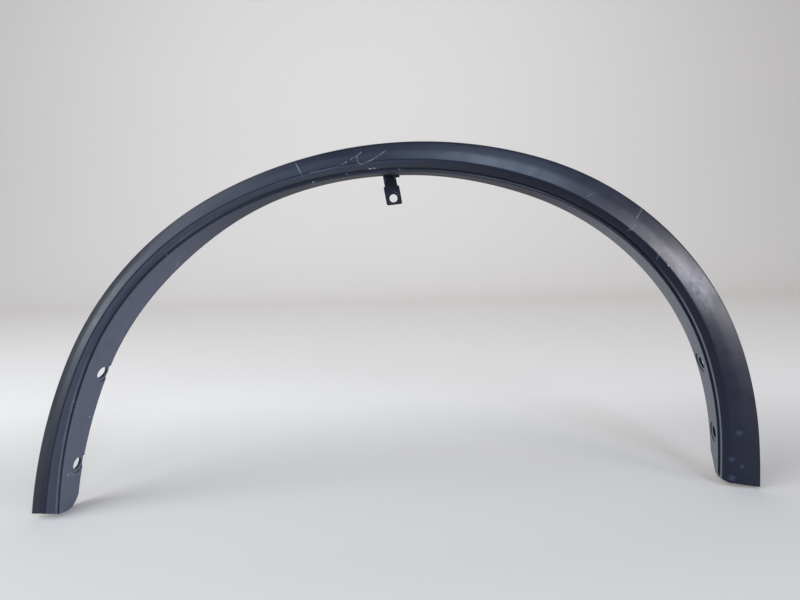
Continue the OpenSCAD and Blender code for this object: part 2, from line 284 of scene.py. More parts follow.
@dataclass(frozen=True)
class Section:
    """Section of the moulding: face, roll-over, shadow groove and flange.

    A point of the section is its distance inward from the outer edge and its
    depth behind it. What changes along the edge is given at equal steps from
    the narrow foot to the wide one. A cut is the length that a rounding takes
    off each side of its corner.

    Attributes:
        edge: The outer edge that the section follows.
        face: Width from the outer edge to the ridge.
        roll: Width from the ridge to the flange.
        turn: Turn about the outer edge, in degrees.
        groove: Width of the shadow groove.
        groove_bottom: Its bottom outward of the flange's start and behind it, in its widths.
        ridge_soft: Cut at the ridge.
        wall: Wall thickness.
        face_angle: Angle of the face to the plane of the arch, in degrees.
        face_bulge: Height of the crown of the face above its chord.
        lip_depth: Depth of the lip turned back at the outer edge.
        lip_lean: How far the lip's end lies inward.
        roll_slope: Depth gained over each millimetre of roll-over.
        flange_depth: Depth of the flange behind the roll-over.
        edge_cut: Cut at the lip and at the rear edge of the flange.
        corner_cut: Cut at the outer corner.
        face_cut: Cut at the crown of the face.
        groove_cuts: Cuts at the groove's edge, at its bottom and at the flange's start.
        back_corner_cut: Cut behind the outer corner.
        back_ridge_least: Smallest cut behind the ridge.
        back_groove_cuts: Cuts behind the groove and the flange's start.
    """

    edge: OuterEdge = OuterEdge()
    face: tuple[float, ...] = (19, 16.5, 16, 20.5, 28, 32.5, 37)
    roll: tuple[float, ...] = (8.5, 6.5, 8, 10.5, 9, 8.5, 8.5)
    turn: tuple[float, ...] = (-4.5, -15.5, -18.5, -4, -0.5, -2, 1.5, 10.5, 20.5)
    groove: tuple[float, ...] = (2.6, 4.6, 3.4)
    groove_bottom: Flat = (0.75, 0.15)
    ridge_soft: tuple[float, ...] = (2.6, 4, 8)
    wall: float = 2.8
    face_angle: float = 12
    face_bulge: float = 0.7
    lip_depth: float = 7
    lip_lean: float = 0.8
    roll_slope: float = 1.15
    flange_depth: float = 38
    edge_cut: float = 0.7
    corner_cut: float = 2.2
    face_cut: float = 6
    groove_cuts: tuple[float, ...] = (0.7, 0.8, 1.3)
    back_corner_cut: float = 0.8
    back_ridge_least: float = 1
    back_groove_cuts: tuple[float, ...] = (1.5, 1.5, 1.2)

    def turn_at(self, share: float) -> float:
        """Turn of the section about the outer edge, in degrees."""
        return blend(self.turn, share)

    def corners(self, share: float) -> list[Flat]:
        """Corners of the visible side before the section is turned.

        Args:
            share: Share of the edge's length.

        Returns:
            The points in the order of Corner.
        """
        face, roll = blend(self.face, share), blend(self.roll, share)
        groove = blend(self.groove, share)
        rise = -face * math.tan(math.radians(self.face_angle))
        depth = rise + self.roll_slope * roll
        outward, behind = self.groove_bottom
        return [
            turned((self.lip_lean, self.lip_depth), -self.turn_at(share)),
            (0.0, 0.0),
            (face / 2, rise / 2 - self.face_bulge),
            (face, rise),
            (face + roll - groove, rise + self.roll_slope * (roll - groove)),
            (face + roll - outward * groove, depth + behind * groove),
            (face + roll, depth),
            (face + roll, depth + self.flange_depth),
        ]

    def outline(self, share: float) -> tuple[list[Flat], list[float]]:
        """Closed outline of the section with the rounding of each corner.

        Args:
            share: Share of the edge's length.

        Returns:
            The points, turned into place, and the cut length at each point.
        """
        corners = self.corners(share)
        soft = blend(self.ridge_soft, share)
        show_cuts = [
            self.edge_cut,
            self.corner_cut,
            self.face_cut,
            soft,
            *self.groove_cuts,
            self.edge_cut,
        ]
        back = moved([corners[at] for at in Corner if at is not Corner.FACE], self.wall)
        back_cuts = [
            self.edge_cut,
            self.back_corner_cut,
            max(soft - self.wall, self.back_ridge_least),
            *self.back_groove_cuts,
            self.edge_cut,
        ]
        show, show_cuts = self.with_rest_points(corners, show_cuts)
        back, back_cuts = self.with_rest_points(back, back_cuts)
        turn = self.turn_at(share)
        points = [turned(point, turn) for point in show + back[::-1]]
        return points, show_cuts + back_cuts[::-1]

    @staticmethod
    def with_rest_points(line: list[Flat], cuts: list[float]) -> tuple[list[Flat], list[float]]:
        """Adds points on the long straight stretches, so that they shade flat.

        Args:
            line: Corners of one side of the section.
            cuts: Cut length at each corner.

        Returns:
            The points and cuts with the added ones, which aren't rounded.
        """
        # The two stretches behind the outer corner, and then the flange.
        middle, along_flange = (0.5,), (0.08, 0.3, 0.6, 0.9)
        shares = {1: middle, 2: middle, len(line) - 2: along_flange}
        points, lengths = [], []
        for i, point in enumerate(line):
            points.append(point)
            lengths.append(cuts[i])
            for share in shares.get(i, ()):
                points.append(between(point, line[i + 1], share))
                lengths.append(0.0)
        return points, lengths

    def lifted(self, point: Flat, share: float) -> Vector:
        """Lifts a turned point of the section to its place in the row frame.

        Args:
            point: Distance inward from the edge and depth, in millimetres.
            share: Share of the edge's length.

        Returns:
            The place in metres.
        """
        x, z, heading = self.edge.at(share)
        turn = math.radians(heading)
        place = Vector((x + point[0] * math.sin(turn), point[1], z - point[0] * math.cos(turn)))
        return (place - Vector(self.edge.origin)) * MM

    def frame_at(self, share: float) -> Matrix:
        """Frame of the section: X inward, Y back and Z along the edge.

        Args:
            share: Share of the edge's length.

        Returns:
            The matrix from millimetres in that frame to metres in the row frame.
        """
        x, z, heading = self.edge.at(share)
        place = (Vector((x, 0, z)) - Vector(self.edge.origin)) * MM
        along = Matrix.Rotation(math.radians(90 - heading), 4, "Y")
        turn = Matrix.Rotation(math.radians(self.turn_at(share)), 4, "Z")
        return Matrix.Translation(place) @ along @ turn @ Matrix.Scale(MM, 4)


def corner_radius(before: Flat, point: Flat, after: Flat, cut: float) -> float:
    """Fillet radius that takes a given length off both sides of a corner.

    Args:
        before: The point before the corner.
        point: The corner.
        after: The point after it.
        cut: Length taken off each side, in millimetres.

    Returns:
        The radius, or 0 where there is no corner.
    """
    # A rounding takes less than half of a side, and leaves a straight run as it is.
    room, straight = 0.45, math.radians(0.5)
    coming = Vector((point[0] - before[0], point[1] - before[1]))
    going = Vector((after[0] - point[0], after[1] - point[1]))
    bend = coming.angle(going, 0.0)
    if cut <= 0 or bend < straight:
        return 0.0
    length = min(cut, room * coming.length, room * going.length)
    return length / math.tan(bend / 2)


def mesh_object(name: str, mesh: bpy.types.Mesh) -> bpy.types.Object:
    """Puts a mesh into the scene as an object at the origin.

    Args:
        name: Name of the object.
        mesh: The mesh, in metres in the row frame.

    Returns:
        The object.
    """
    made = bpy.data.objects.new(name, mesh)
    bpy.context.scene.collection.objects.link(made)
    return made


def object_from(name: str, shape: bmesh.types.BMesh) -> bpy.types.Object:
    """Turns a bmesh into an object with its faces pointing outwards.

    Args:
        name: Name of the object.
        shape: Closed shape, which is freed.

    Returns:
        The object, at the origin.
    """
    bmesh.ops.recalc_face_normals(shape, faces=shape.faces)
    mesh = bpy.data.meshes.new(name)
    shape.to_mesh(mesh)
    shape.free()
    return mesh_object(name, mesh)


def evaluated(target: bpy.types.Object) -> None:
    """Turns an object with live modifiers into a plain mesh of the same shape.

    Args:
        target: The object, which keeps its name and loses its modifiers.
    """
    graph = bpy.context.evaluated_depsgraph_get()
    mesh = bpy.data.meshes.new_from_object(target.evaluated_get(graph))
    target.modifiers.clear()
    target.data = mesh


def worked(target: bpy.types.Object, tools: Sequence[bpy.types.Object], work: Work) -> None:
    """Adds closed shapes to a target or cuts them from it, and removes them.

    Args:
        target: The object that is worked on.
        tools: The shapes, each closed.
        work: Whether they are added or cut away.
    """
    for tool in tools:
        step = target.modifiers.new("work", "BOOLEAN")
        step.operation = work.value
        step.solver = "MANIFOLD"
        step.object = tool
        evaluated(target)
        bpy.data.objects.remove(tool)


def mirrored(half: Sequence[Flat]) -> list[Flat]:
    """Closed outline from its right half, in even halves about the Y axis.

    Args:
        half: Corners of the right half, from bottom to top.

    Returns:
        All the corners, from the lower left one on.
    """
    other = [(-x, y) for x, y in half]
    return [other[0], *half, *other[:0:-1]]


def prism(outline: Sequence[Flat], low: float, high: float) -> bmesh.types.BMesh:
    """Straight prism over a flat outline.

    Args:
        outline: Corners in the XY plane.
        low: Z of the one end.
        high: Z of the other end.

    Returns:
        The closed shape.
    """
    shape = bmesh.new()
    ends = [[shape.verts.new((x, y, z)) for x, y in outline] for z in (low, high)]
    for end in ends:
        shape.faces.new(end)
    count = len(outline)
    for i in range(count):
        after = (i + 1) % count
        shape.faces.new((ends[0][i], ends[0][after], ends[1][after], ends[1][i]))
    return shape


def lathed(profile: Sequence[Flat], steps: int) -> bmesh.types.BMesh:
    """Turned shape about Z from a profile of radius and height.

    Args:
        profile: Radius and height of each ring, from bottom to top.
        steps: Number of steps round.

    Returns:
        The closed shape, with flat ends.
    """
    shape = bmesh.new()
    angles = [2 * math.pi * i / steps for i in range(steps)]
    rings = [
        [shape.verts.new((radius * math.cos(angle), radius * math.sin(angle), z)) for angle in angles]
        for radius, z in profile
    ]
    for low, high in zip(rings, rings[1:]):
        for i in range(steps):
            after = (i + 1) % steps
            shape.faces.new((low[i], low[after], high[after], high[i]))
    shape.faces.new(rings[0])
    shape.faces.new(rings[-1])
    return shape


def rounded_plate(width: float, height: float, radius: float, steps: int) -> list[Flat]:
    """Outline of a plate with rounded corners, standing on the middle of its base.

    Args:
        width: Width of the plate.
        height: Height of the plate.
        radius: Radius of its corners.
        steps: Steps round each corner.

    Returns:
        Points round the plate.
    """
    outline = []
    centres = ((1, 0), (1, 1), (-1, 1), (-1, 0))
    for quarter, (side, top) in enumerate(centres):
        x = side * (width / 2 - radius)
        y = height - radius if top else radius
        for i in range(steps + 1):
            angle = math.radians(90 * (quarter - 1) + 90 * i / steps)
            outline.append((x + radius * math.cos(angle), y + radius * math.sin(angle)))
    return outline


def corner_waste(radius: float, steps: int) -> list[Flat]:
    """What a rounding takes off a square corner at the origin, open to +X and +Y.

    Args:
        radius: Radius of the rounding.
        steps: Steps along its arc.

    Returns:
        Points round the waste.
    """
    margin = 6.0
    arc = []
    for i in range(steps + 1):
        angle = math.radians(270 - 90 * i / steps)
        arc.append((radius + radius * math.cos(angle), radius + radius * math.sin(angle)))
    return [(radius, -margin), *arc, (-margin, radius), (-margin, -margin)]


@dataclass
class LoftedStrip:
    """The strip itself: rounded sections lofted along the outer edge.

    Attributes:
        section: The section.
        stations: Number of steps along the edge.
        round_steps: Steps round each corner of the section.
        run_on: How far the strip runs on past both ends of the edge.
        merge_mm: Distance within which points of the skin become one.
    """

    section: Section
    stations: int = 400
    round_steps: int = 4
    run_on: float = 7
    merge_mm: float = 0.002

    def shares(self) -> list[float]:
        """Stations along the edge and on past both its ends, for the foot cuts."""
        past = self.run_on / self.section.edge.length
        return [i / self.stations * (1 + 2 * past) - past for i in range(self.stations + 1)]

    def corner_points(self, material: bpy.types.Material) -> bpy.types.Object:
        """Loose points of all section corners, with what the loft reads of them.

        Args:
            material: The finish of the plastic.

        Returns:
            One object of points with their section, order and rounding.
        """
        places, groups, orders, radii = [], [], [], []
        for number, share in enumerate(self.shares()):
            points, cuts = self.section.outline(share)
            count = len(points)
            for i, point in enumerate(points):
                before, after = points[i - 1], points[(i + 1) % count]
                places.append(self.section.lifted(point, share))
                groups.append(number)
                orders.append(i)
                radii.append(MM * corner_radius(before, point, after, cuts[i]))
        mesh = bpy.data.meshes.new("section_corners")
        mesh.from_pydata(places, [], [])
        mesh.attributes.new("section", "INT", "POINT").data.foreach_set("value", groups)
        mesh.attributes.new("order", "INT", "POINT").data.foreach_set("value", orders)
        mesh.attributes.new("round_r", "FLOAT", "POINT").data.foreach_set("value", radii)
        mesh.materials.append(material)
        return mesh_object("arch_moulding_looks", mesh)

    def tree(self, material: bpy.types.Material) -> bpy.types.GeometryNodeTree:
        """Geometry Nodes that round each section and loft a skin through them.

        Args:
            material: The finish of the plastic.

        Returns:
            The tree.
        """
        tree = bpy.data.node_groups.new("loft_sections", "GeometryNodeTree")
        tree.is_modifier = True
        face = tree.interface
        face.new_socket("Section corners", in_out="INPUT", socket_type="NodeSocketGeometry")
        face.new_socket("Steps per corner", in_out="INPUT", socket_type="NodeSocketInt")
        face.new_socket("Skin", in_out="OUTPUT", socket_type="NodeSocketGeometry")
        given = add_node(tree, "NodeGroupInput")
        attribute = "GeometryNodeInputNamedAttribute"
        group = add_node(tree, attribute, {"data_type": "INT"}, {"Name": "section"})
        order = add_node(tree, attribute, {"data_type": "INT"}, {"Name": "order"})
        radius = add_node(tree, attribute, {"data_type": "FLOAT"}, {"Name": "round_r"})
        points = add_node(tree, "GeometryNodeMeshToPoints", None, {"Mesh": given.outputs[0]})
        curves = add_node(
            tree,
            "GeometryNodePointsToCurves",
            None,
            {0: points.outputs[0], 1: group.outputs[0], 2: order.outputs[0]},
        )
        closed = add_node(
            tree,
            "GeometryNodeSetSplineCyclic",
            None,
            {"Geometry": curves.outputs[0], "Cyclic": True},
        )
        rounded = add_node(
            tree,
            "GeometryNodeFilletCurve",
            {"mode": "POLY"},
            {
                "Curve": closed.outputs[0],
                "Count": given.outputs[1],
                "Radius": radius.outputs[0],
                "Limit Radius": True,
            },
        )
        size = add_node(
            tree,
            "GeometryNodeAttributeDomainSize",
            {"component": "CURVE"},
            {"Geometry": rounded.outputs[0]},
        )
        whole = "FunctionNodeIntegerMath"
        ring = add_node(
            tree,
            whole,
            {"operation": "DIVIDE"},
            {0: size.outputs["Point Count"], 1: size.outputs["Spline Count"]},
        )
        columns = add_node(tree, whole, {"operation": "ADD"}, {0: ring.outputs[0], 1: 1})
        grid = add_node(
            tree,
            "GeometryNodeMeshGrid",
            None,
            {"Vertices X": size.outputs["Spline Count"], "Vertices Y": columns.outputs[0]},
        )
        index = add_node(tree, "GeometryNodeInputIndex")
        row = add_node(
            tree, whole, {"operation": "DIVIDE"}, {0: index.outputs[0], 1: columns.outputs[0]}
        )
        column = add_node(
            tree, whole, {"operation": "MODULO"}, {0: index.outputs[0], 1: columns.outputs[0]}
        )
        on_ring = add_node(
            tree, whole, {"operation": "MODULO"}, {0: column.outputs[0], 1: ring.outputs[0]}
        )
        source = add_node(
            tree,
            whole,
            {"operation": "MULTIPLY_ADD"},
            {0: row.outputs[0], 1: ring.outputs[0], 2: on_ring.outputs[0]},
        )
        position = add_node(tree, "GeometryNodeInputPosition")
        sampled = add_node(
            tree,
            "GeometryNodeSampleIndex",
            {"data_type": "FLOAT_VECTOR", "domain": "POINT"},
            {
                "Geometry": rounded.outputs[0],
                "Value": position.outputs[0],
                "Index": source.outputs[0],
            },
        )
        placed = add_node(
            tree,
            "GeometryNodeSetPosition",
            None,
            {"Geometry": grid.outputs[0], "Position": sampled.outputs[0]},
        )
        merged = add_node(
            tree,
            "GeometryNodeMergeByDistance",
            None,
            {"Geometry": placed.outputs[0], "Distance": self.merge_mm * MM},
        )
        realized = add_node(
            tree, "GeometryNodeRealizeInstances", None, {"Geometry": merged.outputs[0]}
        )
        dressed = add_node(
            tree,
            "GeometryNodeSetMaterial",
            None,
            {"Geometry": realized.outputs[0], "Material": material},
        )
        add_node(tree, "NodeGroupOutput", None, {0: dressed.outputs[0]})
        return tree

    def build(self, material: bpy.types.Material) -> bpy.types.Object:
        """Lofts the strip and closes its two ends.

        Args:
            material: The finish of the plastic.

        Returns:
            The closed strip.
        """
        strip = self.corner_points(material)
        step = strip.modifiers.new("loft", "NODES")
        step.node_group = self.tree(material)
        socket = step.node_group.interface.items_tree["Steps per corner"].identifier
        step[socket] = self.round_steps
        evaluated(strip)
        shape = bmesh.new()
        shape.from_mesh(strip.data)
        open_edges = [edge for edge in shape.edges if edge.is_boundary]
        bmesh.ops.holes_fill(shape, edges=open_edges, sides=0)
        bmesh.ops.recalc_face_normals(shape, faces=shape.faces)
        shape.to_mesh(strip.data)
        shape.free()
        return strip


@dataclass
class PlacedCopies:
    """Lays copies of one shape at given frames, with Geometry Nodes.

    Attributes:
        tree: The nodes, which every use shares.
    """

    tree: bpy.types.GeometryNodeTree = field(init=False)

    def __post_init__(self) -> None:
        """Builds the nodes."""
        tree = bpy.data.node_groups.new("place_copies", "GeometryNodeTree")
        tree.is_modifier = True
        face = tree.interface
        face.new_socket("Places", in_out="INPUT", socket_type="NodeSocketGeometry")
        face.new_socket("Shape", in_out="INPUT", socket_type="NodeSocketObject")
        face.new_socket("Finish", in_out="INPUT", socket_type="NodeSocketMaterial")
        face.new_socket("Copies", in_out="OUTPUT", socket_type="NodeSocketGeometry")
        given = add_node(tree, "NodeGroupInput")
        shape = add_node(tree, "GeometryNodeObjectInfo", None, {"Object": given.outputs[1]})
        angles = add_node(
            tree,
            "GeometryNodeInputNamedAttribute",
            {"data_type": "FLOAT_VECTOR"},
            {"Name": "angles"},
        )
        rotation = add_node(tree, "FunctionNodeEulerToRotation", None, {0: angles.outputs[0]})
        copies = add_node(
            tree,
            "GeometryNodeInstanceOnPoints",
            None,
            {
                "Points": given.outputs[0],
                "Instance": shape.outputs["Geometry"],
                "Rotation": rotation.outputs[0],
            },
        )
        realized = add_node(
            tree, "GeometryNodeRealizeInstances", None, {"Geometry": copies.outputs[0]}
        )
        dressed = add_node(
            tree,
            "GeometryNodeSetMaterial",
            None,
            {"Geometry": realized.outputs[0], "Material": given.outputs[2]},
        )
        add_node(tree, "NodeGroupOutput", None, {0: dressed.outputs[0]})
        self.tree = tree

    def lay(
        self,
        name: str,
        shape: bpy.types.Object,
        frames: Sequence[Matrix],
        material: bpy.types.Material,
    ) -> bpy.types.Object:
        """Lays one copy of a shape in each frame.

        Args:
            name: Name of the result.
            shape: The shape in metres, which is removed.
            frames: Unscaled frames in the row frame.
            material: The finish of the copies.

        Returns:
            One object with all the copies.
        """
        mesh = bpy.data.meshes.new(name)
        mesh.from_pydata([matrix.to_translation() for matrix in frames], [], [])
        angles = [angle for matrix in frames for angle in matrix.to_euler("XYZ")]
        attribute = mesh.attributes.new("angles", "FLOAT_VECTOR", "POINT")
        attribute.data.foreach_set("vector", angles)
        laid = mesh_object(name, mesh)
        step = laid.modifiers.new("copies", "NODES")
        step.node_group = self.tree
        sockets = self.tree.interface.items_tree
        step[sockets["Shape"].identifier] = shape
        step[sockets["Finish"].identifier] = material
        evaluated(laid)
        bpy.data.objects.remove(shape)
        return laid


def unscaled(matrix: Matrix) -> Matrix:
    """The same place and turn without the step from millimetres to metres."""
    place, turn, _ = matrix.decompose()
    return Matrix.Translation(place) @ turn.to_matrix().to_4x4()


@dataclass
class ScrewSeats:
    """Round screw seats sunk into the flange, each with its pad behind.

    Attributes:
        section: The section.
        places: Share of the edge and share of the flange's depth of each seat.
        hole_d: Diameter of the holes.
        seat_d: Diameter of the seats.
        sink: Depth of the seats below the flange.
        pad: Thickness of the pads.
        pad_d: Diameter of the pads.
        chamfer: Chamfer of the pads, and of the holes behind them.
        brim: Rounding from a hole to its seat, and how far its middle is cut back.
        cove: Rounding at the foot of a seat's wall, and how far its middle is filled.
        rim: Soft rim of a seat: steps out from its wall and up from the flange.
        reach: Ends of the cutter behind and before the flange.
        steps: Steps round each circle.
    """

    section: Section
    places: tuple[Flat, ...] = ((0.04, 0.745), (0.132, 0.77), (0.8765, 0.58), (0.953, 0.52))
    hole_d: float = 13.6
    seat_d: float = 23
    sink: float = 1.3
    pad: float = 1.4
    pad_d: float = 19
    chamfer: float = 0.3
    brim: Flat = (0.35, 0.12)
    cove: Flat = (0.5, 0.15)
    rim: tuple[Flat, ...] = ((0.1, -0.25), (0.35, -0.05), (0.7, 0.05))
    reach: Span = (-12, 8)
    steps: int = 72

    def frames(self) -> list[Matrix]:
        """Frames of the seats: Z leaves the flange on its visible side.

        Returns:
            One unscaled frame for each seat.
        """
        result = []
        for share, depth in self.places:
            corners = self.section.corners(share)
            across, down = between(corners[Corner.FLANGE_START], corners[Corner.FLANGE_END], depth)
            sideways = Matrix.Rotation(math.radians(90), 4, "Y")
            local = Matrix.Translation((across, down, 0)) @ sideways
            result.append(unscaled(self.section.frame_at(share) @ local))
        return result

    def cutter(self) -> bpy.types.Object:
        """Shape that sinks a seat with a soft rim and drills its hole.

        Returns:
            The cutter, in metres about the seat's own frame.
        """
        hole, seat = self.hole_d / 2, self.seat_d / 2
        back = -self.section.wall - self.pad
        brim, brim_middle = self.brim
        cove, cove_middle = self.cove
        behind, before = self.reach
        profile = [
            (hole + self.chamfer, behind),
            (hole + self.chamfer, back - HAIR),
            (hole, back + self.chamfer),
            (hole, -self.sink - brim),
            (hole + brim_middle, -self.sink - brim_middle),
            (hole + brim, -self.sink),
            (seat - cove, -self.sink),
            (seat - cove_middle, -self.sink + cove_middle),
            (seat, -self.sink + cove),
            *[(seat + out, up) for out, up in self.rim],
            (seat + self.rim[-1][0], before),
        ]
        shape = lathed(profile, self.steps)
        bmesh.ops.scale(shape, vec=(MM, MM, MM), verts=shape.verts)
        return object_from("seat_cutter", shape)

    def pad_disc(self) -> bpy.types.Object:
        """Pad behind a seat, with a small chamfer.

        Returns:
            The pad, in metres about the seat's own frame.
        """
        radius, back = self.pad_d / 2, -self.section.wall - self.pad
        profile = [
            (radius - self.chamfer, back),
            (radius, back + self.chamfer),
            (radius, -self.section.wall / 2),
        ]
        shape = lathed(profile, self.steps)
        bmesh.ops.scale(shape, vec=(MM, MM, MM), verts=shape.verts)
        return object_from("seat_pad", shape)


@dataclass
class HiddenRibs:
    """Gussets and spring-clip blades on the hidden side.

    Attributes:
        section: The section.
        gusset_shares: Places of the gussets along the edge.
        gusset_reach: How far they run down the flange.
        gusset_start: Where they start across the face, as a share of its width.
        gusset_sink: How far they sink into the wall, as a share of its thickness.
        rib: Thickness of the gussets and of the webs on the blades.
        blade_shares: Places of the blades along the edge.
        blade_place: Where they stand across the face, as a share of its width.
        blade_sink: How far they sink into the wall.
        blade: Thickness of the blades.
        blade_length: Their length along the edge.
        blade_height: Their nominal height.
        blade_top: Steps of their upper end from the corner at full length and height.
        web: Half outline of a web: distance across and share of the blade's height.
        bead_proud: How far the bead stands out of the blade.
        bead_chamfer: Chamfer at its ends.
        bead_place: Its height, as a share of the blade's.
        bead_steps: Steps round it.
    """

    section: Section
    gusset_shares: tuple[float, ...] = (
        0.025, 0.08, 0.112, 0.172, 0.235, 0.3, 0.37, 0.44,
        0.52, 0.59, 0.66, 0.73, 0.79, 0.845, 0.905, 0.97,
    )
    gusset_reach: float = 17
    gusset_start: float = 0.42
    gusset_sink: float = 0.6
    rib: float = 1.8
    blade_shares: tuple[float, ...] = (0.1, 0.205, 0.335, 0.48, 0.625, 0.76, 0.885)
    blade_place: float = 0.54
    blade_sink: float = 0.8
    blade: float = 2.2
    blade_length: float = 18
    blade_height: float = 9
    blade_top: tuple[Flat, ...] = ((0, -1.5), (-0.6, -0.4), (-2.5, 0.8))
    web: tuple[Flat, ...] = ((3.5, 0), (3.5, 0.3), (2.9, 0.4))
    bead_proud: float = 0.6
    bead_chamfer: float = 0.4
    bead_place: float = 0.8
    bead_steps: int = 24

    def gussets(self) -> list[bpy.types.Object]:
        """Triangular webs between the back of the face and the flange.

        Returns:
            One object for each gusset, in place.
        """
        made = []
        for share in self.gusset_shares:
            corners = self.section.corners(share)
            line = [corners[Corner.EDGE], *corners[Corner.RIDGE :]]
            middle = moved(line, self.gusset_sink * self.section.wall)
            on_face = between(middle[0], middle[1], self.gusset_start)
            reach = self.gusset_reach / self.section.flange_depth
            on_flange = between(middle[-2], middle[-1], reach)
            shape = prism([on_face, *middle[1:-1], on_flange], -self.rib / 2, self.rib / 2)
            shape.transform(self.section.frame_at(share))
            made.append(object_from("gusset", shape))
        return made

    def blade_frames(self) -> list[Matrix]:
        """Frames at the foot of each blade, on the back of the face.

        Returns:
            One unscaled frame for each blade.
        """
        result = []
        for share in self.blade_shares:
            lean = Matrix.Rotation(math.radians(-self.section.face_angle), 4, "Z")
            across = self.blade_place * blend(self.section.face, share)
            foot = Matrix.Translation((across, self.section.wall - self.blade_sink, 0))
            result.append(unscaled(self.section.frame_at(share) @ lean @ foot))
        return result

    def blade_shape(self) -> bpy.types.Object:
        """One blade with its two cross webs and the bead that holds the clip.

        Returns:
            The blade, in metres about its own foot.
        """
        end, height = self.blade_length / 2, self.blade_height
        top = [(end + out, height + up) for out, up in self.blade_top]
        plate = prism(mirrored([(end, 0), *top]), -self.blade / 2, self.blade / 2)
        plate.transform(Matrix.Rotation(math.radians(-90), 4, "Y"))
        blade = object_from("clip_blade", plate)
        tools = []
        for side in (-1, 1):
            outline = mirrored([(out, up * height) for out, up in self.web])
            middle = side * self.blade_length / 3
            web = prism(outline, middle - self.rib / 2, middle + self.rib / 2)
            tools.append(object_from("web", web))
        radius, reach = self.blade / 2 + self.bead_proud, self.blade_length / 6
        thin, far = radius - self.bead_chamfer, reach + self.bead_chamfer
        profile = [(thin, -far), (radius, -reach), (radius, reach), (thin, far)]
        bead = lathed(profile, self.bead_steps)
        bead.transform(Matrix.Translation((0, self.bead_place * height, 0)))
        tools.append(object_from("bead", bead))
        worked(blade, tools, Work.ADD)
        blade.data.transform(Matrix.Scale(MM, 4))
        return blade


